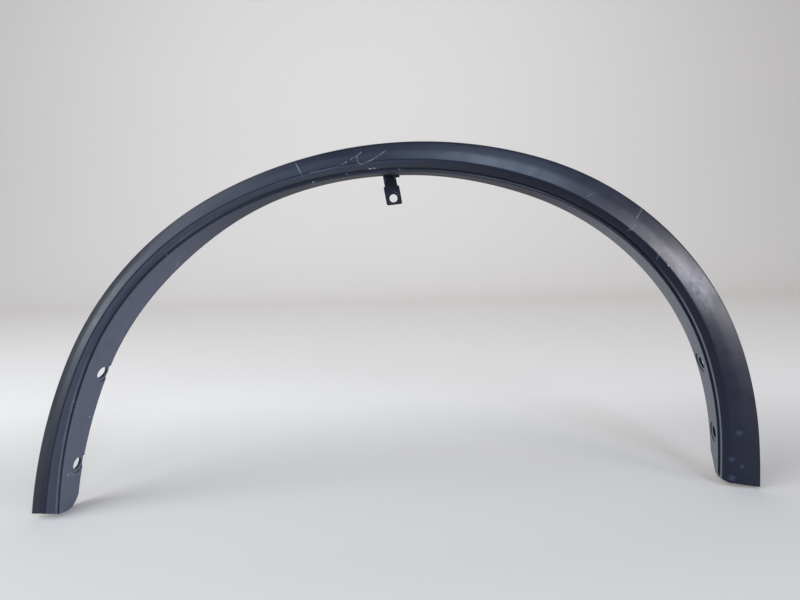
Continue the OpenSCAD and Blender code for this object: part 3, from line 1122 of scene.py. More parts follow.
@dataclass
class TopTab:
    """Tab that hangs from the rear edge of the flange at the crown, and its stop.

    Attributes:
        section: The section.
        share: Place of the tab along the edge.
        width: Width of the plate.
        height: Height of the plate.
        neck_width: Width of the neck.
        neck: Length of the neck.
        neck_overlap: How far the neck runs on below and above.
        thickness: Thickness of neck and plate.
        soft: Chamfer along the neck and round the plate.
        corner: Radius of the plate's corners.
        corner_steps: Steps round each of them.
        joggle: Step forward from the neck to the plate.
        lean: Lean of the tab to the right, in degrees.
        skew: Skew of the ends of the plate, in degrees.
        hole_d: Diameter of the hole.
        hole_drop: Distance of the hole below the neck.
        hole_soft: Chamfer of the hole.
        hole_steps: Steps round the hole.
        drill_reach: How far the drill runs past the plate.
        rib: Thickness of the webs beside the neck.
        web: Outline of a web: distance down from the neck's top, depth behind its front.
        web_lift: How far the webs are set into the flange.
        nub_share: Place of the stop along the edge.
        nub: Height of the stop inward, its length to the front and its width.
        nub_sink: How far the stop sinks into the flange.
        nub_slope: How much shorter the stop is at its far side.
    """

    section: Section
    share: float = 0.4785
    width: float = 17.4
    height: float = 21.2
    neck_width: float = 14
    neck: float = 11.5
    neck_overlap: Flat = (1, 1.5)
    thickness: float = 2.4
    soft: float = 0.35
    corner: float = 2
    corner_steps: int = 10
    joggle: float = 1.2
    lean: float = 10
    skew: float = 4
    hole_d: float = 9
    hole_drop: float = 14
    hole_soft: float = 0.3
    hole_steps: int = 64
    drill_reach: float = 8
    rib: float = 1.8
    web: tuple[Flat, ...] = ((0, 1), (7, 1), (7, 0), (2, -4), (0, -4))
    web_lift: float = 1
    nub_share: float = 0.4862
    nub: Place = (2.7, 3, 4.8)
    nub_sink: float = 0.5
    nub_slope: float = 0.4

    def frame(self) -> Matrix:
        """Frame of the tab: Z up its neck, Y back, in millimetres.

        Returns:
            The matrix from that frame to the row frame.
        """
        end = self.section.corners(self.share)[Corner.FLANGE_END]
        place = self.section.lifted(turned(end, self.section.turn_at(self.share)), self.share)
        lean = Matrix.Rotation(math.radians(-self.lean), 4, "Y")
        return Matrix.Translation(place) @ lean @ Matrix.Scale(MM, 4)

    def pieces(self) -> list[bpy.types.Object]:
        """Neck, plate, the two webs that tie the neck to the flange, and the stop.

        Returns:
            One object for each, in place.
        """
        half, thick = self.neck_width / 2, self.thickness
        below, above = self.neck_overlap
        right = [
            (half - self.soft, -thick),
            (half, -thick + self.soft),
            (half, -self.soft),
            (half - self.soft, 0),
        ]
        neck = prism(mirrored(right), -self.neck - below, above)
        slant = math.tan(math.radians(self.skew))
        outline = rounded_plate(self.width, self.height, self.corner, self.corner_steps)
        plate = prism([(x, y - slant * x) for x, y in outline], 0, thick)
        rims = [edge for edge in plate.edges if edge.verts[0].co.z == edge.verts[1].co.z]
        bmesh.ops.bevel(
            plate, geom=rims, offset=self.soft, segments=2, profile=0.5, affect="EDGES"
        )
        standing = Matrix.Rotation(math.radians(90), 4, "X")
        place = Matrix.Translation((0, -self.joggle, -self.neck - self.height))
        plate.transform(place @ standing)
        made = [object_from("tab_neck", neck), object_from("tab_plate", plate)]
        sideways = Matrix.Rotation(math.radians(90), 4, "Y")
        for side in (-1, 1):
            web = prism(self.web, 0, self.rib)
            across = side * (half - self.rib) - self.rib / 2
            web.transform(Matrix.Translation((across, -thick, self.web_lift)) @ sideways)
            made.append(object_from("tab_web", web))
        for piece in made:
            piece.data.transform(self.frame())
        return made + [self.rear_nub()]

    def rear_nub(self) -> bpy.types.Object:
        """Small stop on the rear edge of the flange beside the tab.

        Returns:
            The stop, in place.
        """
        tall, long, wide = self.nub
        rear, depth = self.section.corners(self.nub_share)[Corner.FLANGE_END]
        low = rear - self.nub_sink
        high, start = low + tall, depth - long
        outline = [(low, start), (high, start + self.nub_slope), (high, depth), (low, depth)]
        shape = prism(outline, -wide / 2, wide / 2)
        shape.transform(self.section.frame_at(self.nub_share))
        return object_from("rear_nub", shape)

    def drill(self) -> bpy.types.Object:
        """Drill for the hole, with a small chamfer at both faces of the plate.

        Returns:
            The drill, in place.
        """
        radius, soft = self.hole_d / 2, self.hole_soft
        front, back = self.joggle + self.thickness, self.joggle
        profile = [
            (radius + soft, back - self.drill_reach),
            (radius + soft, back - HAIR),
            (radius, back + soft),
            (radius, front - soft),
            (radius + soft, front + HAIR),
            (radius + soft, front + self.drill_reach),
        ]
        shape = lathed(profile, self.hole_steps)
        place = Matrix.Translation((0, 0, -self.neck - self.hole_drop))
        shape.transform(self.frame() @ place @ Matrix.Rotation(math.radians(90), 4, "X"))
        return object_from("tab_drill", shape)


@dataclass
class FootTrims:
    """Cuts at the two feet: sloping ends, rounded corners and a diagonal.

    Angles are in degrees. A slope is that of a foot's end down to the back, and
    a rise is that of its end inward. The sizes from front on are of the waste.

    Attributes:
        section: The section.
        left_more: How far the left foot runs past the edge's end.
        left_face_end: Slope of the left foot's end across the face.
        left_flange_end: Slope of the left foot's end across the flange.
        left_rise: Rise of the left foot's end.
        left_r: Radius at the rear lower corner of the left flange.
        right_more: How far the right foot runs past the edge's end.
        right_end: Slope of the right foot's end.
        right_rise: Rise of the right foot's end.
        right_r: Radius at the inner lower corner of the right foot.
        cut_angle: Angle of the diagonal across the right flange.
        cut_front: Its start behind the start of the flange.
        front: Depth at which the left waste starts.
        low: Level down to which it runs.
        inward: Its two sides, as distances inward of the outer edge.
        margin: How far wastes run past the moulding.
        reach: Depth of the wastes at the right foot.
        across: Two sides of the waste below the right foot, likewise.
        drop: Height of the wastes at the right foot.
        diagonal_width: Width of the diagonal's waste.
        steps: Steps along each rounding.
    """

    section: Section
    left_more: float = 0.7
    left_face_end: float = 26.7
    left_flange_end: float = 13
    left_rise: float = 7.4
    left_r: float = 22
    right_more: float = 1.2
    right_end: float = 22
    right_rise: float = 4.9
    right_r: float = 14
    cut_angle: float = 40
    cut_front: float = 4
    front: float = -30
    low: float = -60
    inward: Span = (-20, 60)
    margin: float = 8
    reach: float = 90
    across: Span = (-20, 80)
    drop: float = 40
    diagonal_width: float = 20
    steps: int = 30

    def left_past(self, depth: float) -> float:
        """How far the left foot runs past the edge's end, at a depth.

        Args:
            depth: Depth behind the outer edge, in millimetres.

        Returns:
            The length past the end, in millimetres.
        """
        bend = self.section.corners(0)[Corner.FLANGE_START][1]
        on_face = min(depth, bend) * math.tan(math.radians(self.left_face_end))
        on_flange = max(depth - bend, 0) * math.tan(math.radians(self.left_flange_end))
        return self.left_more + on_face + on_flange

    def left_waste(self) -> bmesh.types.BMesh:
        """Waste below the left foot, as depth and height drawn out inward.

        Returns:
            The closed shape.
        """
        corners = self.section.corners(0)
        bend, rear = corners[Corner.FLANGE_START][1], corners[Corner.FLANGE_END][1]
        rounding = []
        for i in range(self.steps + 1):
            angle = math.radians(90 * i / self.steps)
            depth = rear - self.left_r * (1 - math.sin(angle))
            height = self.left_r * (1 - math.cos(angle)) - self.left_past(depth)
            rounding.append((depth, height))
        outline = [
            (self.front, -self.left_past(self.front)),
            (bend, -self.left_past(bend)),
            *rounding,
            (rear + self.margin, rounding[-1][1]),
            (rear + self.margin, self.low),
            (self.front, self.low),
        ]
        return prism(outline, *self.inward)

    def right_frame(self) -> Matrix:
        """Frame of the right foot's end, sloped as the end is.

        Returns:
            The matrix from millimetres in that frame to metres in the row frame.
        """
        slope = Matrix.Identity(4)
        slope[2][0] = -math.tan(math.radians(self.right_rise))
        slope[2][1] = math.tan(math.radians(self.right_end))
        slope[2][3] = self.right_more
        return self.section.frame_at(1) @ slope

    def cutters(self) -> list[bpy.types.Object]:
        """The pieces of waste at both feet.

        Returns:
            One object for each cut, in place.
        """
        # Turns an outline drawn as depth and height, so that its prism runs inward.
        upright = Matrix(((0, 0, 1, 0), (1, 0, 0, 0), (0, 1, 0, 0), (0, 0, 0, 1)))
        slope = Matrix.Identity(4)
        slope[2][0] = math.tan(math.radians(self.left_rise))
        left = self.left_waste()
        left.transform(self.section.frame_at(0) @ slope @ upright)

        inner, bend = self.section.corners(1)[Corner.FLANGE_START]
        start, end = self.across
        half = self.reach / 2
        below = prism([(start, -half), (end, -half), (end, half), (start, half)], 0, self.drop)
        below.transform(self.right_frame())

        waste = [(-y, -x) for x, y in corner_waste(self.right_r, self.steps)]
        corner = prism(waste, 0, self.reach)
        place = Matrix.Translation((inner, half, 0))
        corner.transform(self.right_frame() @ place @ Matrix.Rotation(math.radians(90), 4, "X"))

        fall = self.reach * math.tan(math.radians(self.cut_angle))
        outline = [(0, 0), (self.reach, -fall), (self.reach, self.drop), (0, self.drop)]
        diagonal = prism(outline, 0, self.diagonal_width)
        place = Matrix.Translation((inner - self.margin, bend + self.cut_front, 0))
        diagonal.transform(self.section.frame_at(1) @ place @ upright)

        names = ("left_waste", "right_waste", "right_corner", "right_diagonal")
        shapes = (left, below, corner, diagonal)
        return [object_from(name, shape) for name, shape in zip(names, shapes)]


@dataclass(frozen=True)
class Mark:
    """A line or spot rubbed into the surface, or a painted highlight.

    Attributes:
        path: The points that it runs through, in millimetres, or its one place.
    """

    path: tuple[Place, ...]


@dataclass(frozen=True)
class MarkKind:
    """Marks of one look.

    Attributes:
        marks: The marks.
        half_width: Distance from a mark's middle at which it ends, in millimetres.
        strength: How much of the body colour it hides.
        colour: Colour of the rubbed grain, or of the painted highlight.
        broken_mm: Size of the gaps along it.
    """

    marks: tuple[Mark, ...]
    half_width: float
    strength: float
    colour: str
    broken_mm: float


def star(centre: Place, size: float) -> tuple[Mark, Mark]:
    """Small bruise with four arms, as a knock on the grain leaves it.

    Args:
        centre: Middle of the bruise, in millimetres.
        size: Length of an arm, in millimetres.

    Returns:
        Two marks that cross at the middle.
    """
    x, y, z = centre
    # Shares of the arm's length across and up, for the two lines of arms.
    arms = ((0.95, 0.35), (-0.45, 0.85))
    return tuple(
        Mark(((x - size * across, y, z - size * up), (x + size * across, y, z + size * up)))
        for across, up in arms
    )


# The places of the marks are on the moulding's surface, in millimetres in the row
# frame, where each mark begins, bends and ends in the photograph.

FINE_SCRATCHES_AND_RIM_HIGHLIGHTS = MarkKind(
    marks=(
        Mark(((-112.0, -23.1, 376.6), (-109.4, -24.7, 371.8), (-106.6, -25.9, 366.4),
              (-104.9, -23.4, 361.3))),
        Mark(((-55.0, -25.4, 379.8), (-52.8, -25.1, 381.5), (-48.5, -24.8, 383.6),
              (-44.0, -24.0, 387.5))),
        Mark(((-48.5, -24.8, 383.6), (-48.4, -25.7, 377.9), (-46.4, -25.5, 375.7),
              (-43.2, -25.1, 375.1), (-39.2, -25.6, 377.0), (-33.4, -25.8, 379.0),
              (-25.1, -25.2, 384.3), (-17.6, -24.2, 389.5))),
        Mark(((256.4, -22.7, 324.0), (253.4, -24.1, 319.6), (249.7, -25.6, 314.7))),
        Mark(((248.8, -26.6, 308.7), (246.7, -27.3, 305.6), (242.7, -27.9, 303.0),
              (239.0, -26.5, 302.1))),
        # These two marks are painted highlights: light arcs on the lower rims of the two left screw
        # seats.
        Mark(((-339.6, -2.7, 145.8), (-339.8, 3.0, 145.0), (-338.1, 5.0, 144.1))),
        Mark(((-373.3, -3.7, 44.7), (-373.7, 1.2, 41.0), (-373.4, 7.3, 38.6),
              (-372.7, 11.8, 39.3))),
    ),
    half_width=0.68,
    strength=0.4,
    colour="#989ea8",
    broken_mm=2.2,
)

FAINT_SCRATCHES = MarkKind(
    marks=(
        Mark(((-98.0, -25.7, 366.6), (-79.2, -25.5, 370.4), (-66.0, -25.7, 373.8),
              (-59.8, -25.7, 377.3))),
        Mark(((194.9, -27.5, 339.1), (200.2, -26.5, 341.5))),
        Mark(((274.4, -27.3, 275.6), (273.7, -25.2, 270.5))),
        Mark(((242.6, -18.3, 294.3), (243.8, -23.1, 294.8))),
        Mark(((-244.1, -1.1, 277.2), (-247.1, 11.2, 268.8))),
        Mark(((-245.2, -2.6, 276.7), (-247.9, 6.5, 270.2))),
        Mark(((-378.3, 0.1, 19.2), (-378.3, 4.0, 17.4))),
        Mark(((314.6, -25.2, 245.5), (319.6, -24.5, 246.6), (324.7, -23.8, 246.4))),
        Mark(((-9.2, 19.8, 348.9), (-5.8, 19.8, 348.4), (-3.2, 19.8, 345.7))),
    ),
    half_width=0.75,
    strength=0.24,
    colour="#8b93a1",
    broken_mm=3,
)

SPECKS = MarkKind(
    marks=(
        Mark(((-36.0, -19.8, 370.6), (-33.9, -19.4, 370.7))),
        Mark(((-31.2, -19.7, 371.0), (-30.2, -19.6, 371.1))),
        Mark(((-26.5, -19.4, 371.2),)),
        Mark(((-4.2, -14.0, 370.5),)),
        Mark(((-59.8, -14.6, 366.1),)),
        Mark(((-95.1, -15.7, 358.0),)),
        Mark(((-60.0, -25.7, 377.2),)),
        Mark(((286.6, -27.0, 263.5),)),
        Mark(((-248.3, -23.3, 284.9),)),
        Mark(((-353.4, 6.7, 104.8),)),
        Mark(((-374.1, -8.6, 44.4),)),
        Mark(((-354.3, -23.6, 131.3),)),
    ),
    half_width=1.15,
    strength=0.85,
    colour="#b4bac4",
    broken_mm=30,
)

BRUISES = MarkKind(
    marks=(
        *star((380.9, -20.7, 69.2), 2.4),
        *star((375.1, -18.5, 37.0), 2.0),
        *star((387.0, -19.9, 28.8), 0.5),
        *star((376.9, -17.7, 14.3), 2.6),
    ),
    half_width=3.1,
    strength=0.26,
    colour="#545a70",
    broken_mm=1.4,
)

SMUDGES = MarkKind(
    marks=(
        Mark(((331.7, -23.6, 238.0),)),
        Mark(((336.7, -23.5, 230.3),)),
        Mark(((331.9, -24.5, 224.0), (333.5, -24.4, 222.5))),
        Mark(((340.0, -23.6, 221.0), (342.8, -23.5, 220.0))),
        Mark(((346.1, -23.3, 214.6),)),
    ),
    half_width=2.2,
    strength=0.75,
    colour="#10131b",
    broken_mm=2.0,
)


@dataclass(frozen=True)
class DustAndSheenFilm:
    """Dusty film from the road on surfaces that face the middle of the arch, lightened as painted
    sheen: it stands in for the pale reflections that surfaces turned away from the front catch at a
    grazing angle.

    Attributes:
        span: Place across the arch where the film begins and where it is full, in metres.
        facing: The normal's front-to-back share where it begins and where it is full.
        strength: How much of the body colour it hides.
        colour: Colour of the dusty film, lightened as painted sheen.
        turn: The normal's share towards the middle of the arch, likewise.
        mottle_mm: Size of its denser and thinner spots.
        noise: Levels of the noise at which it is thinnest and densest.
        least: Its strength where it is thinnest, as a share of the whole.
    """

    span: Span
    facing: Span
    strength: float
    colour: str
    turn: Span = (0.4, 0.6)
    mottle_mm: float = 9
    noise: Span = (0.25, 0.75)
    least: float = 0.75


@dataclass(frozen=True)
class GrainedPolypropylene:
    """Injection-moulded polypropylene, coloured in the mass, with a fine grain.

    The grain is etched into the mould. It gives a satin skin: a near-black body
    colour with a blue cast under wide, soft reflections.

    Attributes:
        body: The darker of the two colours of the plastic.
        pale: The paler one.
        mottle_mm: Size of the clouds of paler plastic.
        roughness: Middle roughness of the skin.
        roughness_spread: How far it goes up and down from there.
        rubbed_mm: Size of its duller and glossier places.
        rubbed_noise: Levels of the noise at which it is glossiest and dullest.
        ior: Index of refraction.
        specular: Level of the reflections, lowered by the grain.
        grain_mm: Pitch of the grain as drawn.
        grain_height_mm: Height of the grain as drawn.
        grain_strength: Strength of its bump.
        haze_and_highlight: Colour of the dull, mottled patch on the wide shoulder, painted pale where
            the lamp's highlight falls: a hazy patch and a painted highlight in one.
        haze_and_highlight_strength: How much of the body colour it hides.
        haze_and_highlight_centre: Its middle, in millimetres.
        haze_and_highlight_half_length: Half its length, in millimetres.
        haze_and_highlight_half_width: Half its width, in millimetres.
        haze_and_highlight_turn: Angle of its length below the horizontal, in degrees.
        haze_and_highlight_edge: Where it ends and where it is full, in half lengths and widths.
        haze_and_highlight_mottle_mm: Size of its spots.
        haze_and_highlight_noise: Levels of the noise at which it is thinnest and densest.
        haze_and_highlight_least: Its strength where it is thinnest, as a share of the whole.
        dust_and_sheen: The dusty films, with their painted sheen.
        dust_roughness: Roughness of a full film of dust.
        marks: The kinds of marks, from the lowest to the top one.
        mark_depth: How much of the depth between a point and a mark counts.
        mark_noise: Levels of the noise at which marks are faintest and strongest.
        mark_least: Their strength where they are faintest, as a share of the whole.
    """

    body: str = "#070b17"
    pale: str = "#0d1223"
    mottle_mm: float = 45
    roughness: float = 0.34
    roughness_spread: float = 0.05
    rubbed_mm: float = 18
    rubbed_noise: Span = (0.3, 0.7)
    ior: float = 1.49
    specular: float = 0.32
    grain_mm: float = 1.1
    grain_height_mm: float = 0.02
    grain_strength: float = 0.5
    # A pale, mottled patch on the lit shoulder: a hazy patch and a painted highlight in one.
    haze_and_highlight: str = "#7d7f88"
    haze_and_highlight_strength: float = 0.36
    haze_and_highlight_centre: Place = (320.2, -24.7, 240.1)
    haze_and_highlight_half_length: float = 46
    haze_and_highlight_half_width: float = 13
    haze_and_highlight_turn: float = 58
    haze_and_highlight_edge: Span = (1.15, 0.2)
    haze_and_highlight_mottle_mm: float = 5
    haze_and_highlight_noise: Span = (0.35, 0.62)
    haze_and_highlight_least: float = 0.1
    # Dusty films, lightened as painted sheen where surfaces turn away from the front and catch pale
    # reflections at a grazing angle.
    dust_and_sheen: tuple[DustAndSheenFilm, ...] = (
        DustAndSheenFilm(span=(0.26, 0.16), facing=(-0.4, -0.3), strength=0.6, colour="#262b3a"),
        DustAndSheenFilm(span=(-0.12, -0.26), facing=(-0.52, -0.44), strength=0.6, colour="#6b7080"),
        DustAndSheenFilm(span=(0.12, 0.26), facing=(-0.2, -0.08), strength=0.5, colour="#8d9199"),
        DustAndSheenFilm(
            span=(0.16, -0.12),
            facing=(-0.44, -0.52),
            strength=0.38,
            colour="#535968",
            turn=(0.1, 0.3),
        ),
    )
    dust_roughness: float = 0.85
    marks: tuple[MarkKind, ...] = (SMUDGES, BRUISES, FAINT_SCRATCHES, FINE_SCRATCHES_AND_RIM_HIGHLIGHTS, SPECKS)
    mark_depth: float = 0.3
    mark_noise: Span = (0.4, 0.56)
    mark_least: float = 0.3

    def stretch_distance(
        self, tree: bpy.types.NodeTree, where: bpy.types.NodeSocket, start: Vector, end: Vector
    ) -> bpy.types.NodeSocket:
        """Distance from a point of the surface to one straight stretch of a mark.

        Args:
            tree: The material's nodes.
            where: The point in millimetres, with its depth scaled.
            start: Start of the stretch.
            end: End of the stretch.

        Returns:
            The socket with the distance.
        """
        vector = "ShaderNodeVectorMath"
        along = end - start
        scaled = along / along.length_squared
        reach = add_node(tree, vector, {"operation": "DOT_PRODUCT"}, {0: where, 1: scaled})
        share = add_node(
            tree,
            "ShaderNodeMath",
            {"operation": "SUBTRACT", "use_clamp": True},
            {0: reach.outputs["Value"], 1: start.dot(scaled)},
        )
        foot = add_node(
            tree,
            vector,
            {"operation": "MULTIPLY_ADD"},
            {0: share.outputs[0], 1: along, 2: start},
        )
        away = add_node(
            tree, vector, {"operation": "DISTANCE"}, {0: where, 1: foot.outputs["Vector"]}
        )
        return away.outputs["Value"]

    def distance(
        self, tree: bpy.types.NodeTree, where: bpy.types.NodeSocket, mark: Mark
    ) -> bpy.types.NodeSocket:
        """Distance from a point of the surface to a mark.

        Args:
            tree: The material's nodes.
            where: The point in millimetres, with its depth scaled.
            mark: The mark.

        Returns:
            The socket with the distance.
        """
        path = [Vector((x, y * self.mark_depth, z)) for x, y, z in mark.path]
        if len(path) == 1:
            spot = {0: where, 1: path[0]}
            away = add_node(tree, "ShaderNodeVectorMath", {"operation": "DISTANCE"}, spot)
            return away.outputs["Value"]
        stretches = zip(path, path[1:])
        lengths = (self.stretch_distance(tree, where, start, end) for start, end in stretches)
        return folded(tree, "MINIMUM", lengths)

    def mark_mask(
        self, tree: bpy.types.NodeTree, where: bpy.types.NodeSocket, kind: MarkKind
    ) -> bpy.types.NodeSocket:
        """How strongly marks of one kind show.

        Args:
            tree: The material's nodes.
            where: The point in millimetres, with its depth scaled.
            kind: The marks and their look.

        Returns:
            The socket with a value from 0 to the kind's strength.
        """
        lengths = (self.distance(tree, where, mark) for mark in kind.marks)
        near = add_node(
            tree,
            "ShaderNodeMapRange",
            {"interpolation_type": "SMOOTHSTEP"},
            {
                "Value": folded(tree, "MINIMUM", lengths),
                "From Min": kind.half_width,
                "From Max": 0.0,
            },
        )
        # Marks break up along their way, as a nail or a stone leaves them.
        noise = add_node(
            tree,
            "ShaderNodeTexNoise",
            None,
            {"Vector": where, "Scale": 1 / kind.broken_mm, "Detail": 2.0},
        )
        broken = add_node(
            tree,
            "ShaderNodeMapRange",
            None,
            {
                "Value": noise.outputs["Fac"],
                "From Min": self.mark_noise[0],
                "From Max": self.mark_noise[1],
                "To Min": self.mark_least * kind.strength,
                "To Max": kind.strength,
            },
        )
        return folded(tree, "MULTIPLY", (near.outputs["Result"], broken.outputs["Result"]))

    def haze_and_highlight_mask(
        self, tree: bpy.types.NodeTree, millimetres: bpy.types.NodeSocket
    ) -> bpy.types.NodeSocket:
        """Dull, mottled patch on the wide shoulder: a hazy patch, painted pale where the highlight
        falls, so partly a painted highlight.

        Args:
            tree: The material's nodes.
            millimetres: The point in millimetres.

        Returns:
            The socket with a value from 0 to the patch's strength.
        """
        vector = "ShaderNodeVectorMath"
        away = add_node(
            tree, vector, {"operation": "SUBTRACT"}, {0: millimetres, 1: self.haze_and_highlight_centre}
        )
        along = add_node(
            tree,
            "ShaderNodeVectorRotate",
            {"rotation_type": "Y_AXIS"},
            {"Vector": away.outputs["Vector"], "Angle": math.radians(-self.haze_and_highlight_turn)},
        )
        narrow = 1 / self.haze_and_highlight_half_width
        share = add_node(
            tree,
            vector,
            {"operation": "MULTIPLY"},
            {0: along.outputs["Vector"], 1: (1 / self.haze_and_highlight_half_length, narrow, narrow)},
        )
        radius = add_node(tree, vector, {"operation": "LENGTH"}, {0: share.outputs["Vector"]})
        patch = add_node(
            tree,
            "ShaderNodeMapRange",
            {"interpolation_type": "SMOOTHSTEP"},
            {
                "Value": radius.outputs["Value"],
                "From Min": self.haze_and_highlight_edge[0],
                "From Max": self.haze_and_highlight_edge[1],
            },
        )
        mottle = add_node(
            tree,
            "ShaderNodeTexNoise",
            None,
            {
                "Vector": millimetres,
                "Scale": 1 / self.haze_and_highlight_mottle_mm,
                "Detail": 4.0,
                "Roughness": 0.65,
            },
        )
        clouds = add_node(
            tree,
            "ShaderNodeMapRange",
            None,
            {
                "Value": mottle.outputs["Fac"],
                "From Min": self.haze_and_highlight_noise[0],
                "From Max": self.haze_and_highlight_noise[1],
                "To Min": self.haze_and_highlight_least * self.haze_and_highlight_strength,
                "To Max": self.haze_and_highlight_strength,
            },
        )
        return folded(tree, "MULTIPLY", (patch.outputs["Result"], clouds.outputs["Result"]))

    def dust_and_sheen_mask(
        self,
        tree: bpy.types.NodeTree,
        surface: bpy.types.Node,
        millimetres: bpy.types.NodeSocket,
        film: DustAndSheenFilm,
    ) -> bpy.types.NodeSocket:
        """How strongly one dusty film with its painted sheen shows.

        Args:
            tree: The material's nodes.
            surface: Texture coordinates, with the place and the normal.
            millimetres: The point in millimetres.
            film: The film.

        Returns:
            The socket with a value from 0 to the film's strength.
        """
        vector = "ShaderNodeVectorMath"
        place, normal = surface.outputs["Object"], surface.outputs["Normal"]
        flat = add_node(tree, vector, {"operation": "MULTIPLY"}, {0: place, 1: (-1, 0, -1)})
        inward = add_node(tree, vector, {"operation": "NORMALIZE"}, {0: flat.outputs["Vector"]})
        turned_in = add_node(
            tree, vector, {"operation": "DOT_PRODUCT"}, {0: inward.outputs["Vector"], 1: normal}
        )
        front = add_node(tree, "ShaderNodeSeparateXYZ", None, {"Vector": normal})
        across = add_node(tree, "ShaderNodeSeparateXYZ", None, {"Vector": place})
        mottle = add_node(
            tree,
            "ShaderNodeTexNoise",
            None,
            {
                "Vector": millimetres,
                "Scale": 1 / film.mottle_mm,
                "Detail": 5.0,
                "Roughness": 0.6,
            },
        )
        ranges = (
            (turned_in.outputs["Value"], film.turn),
            (front.outputs["Y"], film.facing),
            (across.outputs["X"], film.span),
        )
        shares = [
            add_node(
                tree,
                "ShaderNodeMapRange",
                {"interpolation_type": "SMOOTHSTEP"},
                {"Value": value, "From Min": begins, "From Max": full},
            ).outputs["Result"]
            for value, (begins, full) in ranges
        ]
        clouds = add_node(
            tree,
            "ShaderNodeMapRange",
            None,
            {
                "Value": mottle.outputs["Fac"],
                "From Min": film.noise[0],
                "From Max": film.noise[1],
                "To Min": film.least * film.strength,
                "To Max": film.strength,
            },
        )
        return folded(tree, "MULTIPLY", (*shares, clouds.outputs["Result"]))

    def plain_colour(
        self, tree: bpy.types.NodeTree, millimetres: bpy.types.NodeSocket
    ) -> bpy.types.NodeSocket:
        """Colour of the clean plastic, with slow changes as flow in the mould leaves them.

        Args:
            tree: The material's nodes.
            millimetres: The point in millimetres.

        Returns:
            The socket with the colour.
        """
        mottle = add_node(
            tree,
            "ShaderNodeTexNoise",
            None,
            {"Vector": millimetres, "Scale": 1 / self.mottle_mm, "Detail": 3.0},
        )
        colour = add_node(
            tree,
            "ShaderNodeMix",
            {"data_type": "RGBA"},
            {
                "Factor": mottle.outputs["Fac"],
                COLOUR_A: linear_colour(self.body),
                COLOUR_B: linear_colour(self.pale),
            },
        )
        return colour.outputs[COLOUR_MIXED]

    def worn_and_painted_light_colour(
        self,
        tree: bpy.types.NodeTree,
        millimetres: bpy.types.NodeSocket,
        colour: bpy.types.NodeSocket,
        dust_and_sheen: Sequence[bpy.types.NodeSocket],
    ) -> bpy.types.NodeSocket:
        """Lays the hazy patch with its painted highlight, the dusty films with their painted sheen
        and the marks, two of them painted highlights, over the colour of the plastic.

        Args:
            tree: The material's nodes.
            millimetres: The point in millimetres.
            colour: The colour of the clean plastic.
            dust_and_sheen: The mask of each dusty film with its painted sheen.

        Returns:
            The socket with the colour.
        """
        where = add_node(
            tree,
            "ShaderNodeVectorMath",
            {"operation": "MULTIPLY"},
            {0: millimetres, 1: (1.0, self.mark_depth, 1.0)},
        ).outputs["Vector"]
        # Painted highlight in the hazy patch and painted sheen in the dusty films lie over the
        # plastic here.
        films = [(self.haze_and_highlight_mask(tree, millimetres), self.haze_and_highlight)]
        films += [(mask, film.colour) for mask, film in zip(dust_and_sheen, self.dust_and_sheen)]
        films += [(self.mark_mask(tree, where, kind), kind.colour) for kind in self.marks]
        for mask, shade in films:
            colour = add_node(
                tree,
                "ShaderNodeMix",
                {"data_type": "RGBA"},
                {"Factor": mask, COLOUR_A: colour, COLOUR_B: linear_colour(shade)},
            ).outputs[COLOUR_MIXED]
        return colour

    def gloss(
        self,
        tree: bpy.types.NodeTree,
        millimetres: bpy.types.NodeSocket,
        dust_and_sheen: Sequence[bpy.types.NodeSocket],
    ) -> bpy.types.NodeSocket:
        """Roughness, which varies where hands and sleeves have rubbed the grain.

        Args:
            tree: The material's nodes.
            millimetres: The point in millimetres.
            dust_and_sheen: The mask of each dusty film with its painted sheen, which takes the gloss
                off.

        Returns:
            The socket with the roughness.
        """
        rubbed = add_node(
            tree,
            "ShaderNodeTexNoise",
            None,
            {"Vector": millimetres, "Scale": 1 / self.rubbed_mm, "Detail": 4.0},
        )
        gloss = add_node(
            tree,
            "ShaderNodeMapRange",
            None,
            {
                "Value": rubbed.outputs["Fac"],
                "From Min": self.rubbed_noise[0],
                "From Max": self.rubbed_noise[1],
                "To Min": self.roughness - self.roughness_spread,
                "To Max": self.roughness + self.roughness_spread,
            },
        ).outputs["Result"]
        for mask in dust_and_sheen:
            gloss = add_node(
                tree,
                "ShaderNodeMix",
                {"data_type": "FLOAT"},
                {"Factor": mask, NUMBER_A: gloss, NUMBER_B: self.dust_roughness},
            ).outputs[NUMBER_MIXED]
        return gloss

    def grain(
        self, tree: bpy.types.NodeTree, millimetres: bpy.types.NodeSocket
    ) -> bpy.types.NodeSocket:
        """Fine grain of the skin.

        Args:
            tree: The material's nodes.
            millimetres: The point in millimetres.

        Returns:
            The socket with the bumped normal.
        """
        # The etched grain is about 0.3 mm and too fine to show, so it is drawn
        # some four times as coarse and kept shallow.
        noise = add_node(
            tree,
            "ShaderNodeTexNoise",
            None,
            {"Vector": millimetres, "Scale": 1 / self.grain_mm, "Detail": 2.0},
        )
        bump = add_node(
            tree,
            "ShaderNodeBump",
            None,
            {
                "Strength": self.grain_strength,
                "Distance": self.grain_height_mm * MM,
                "Height": noise.outputs["Fac"],
            },
        )
        return bump.outputs["Normal"]

    def material(self) -> bpy.types.Material:
        """Builds the material.

        Returns:
            The finish of the whole moulding.
        """
        made = bpy.data.materials.new("grained_polypropylene")
        made.use_nodes = True
        tree = made.node_tree
        tree.nodes.clear()
        surface = add_node(tree, "ShaderNodeTexCoord")
        millimetres = add_node(
            tree,
            "ShaderNodeVectorMath",
            {"operation": "MULTIPLY"},
            {0: surface.outputs["Object"], 1: (1 / MM, 1 / MM, 1 / MM)},
        ).outputs["Vector"]
        clean = self.plain_colour(tree, millimetres)
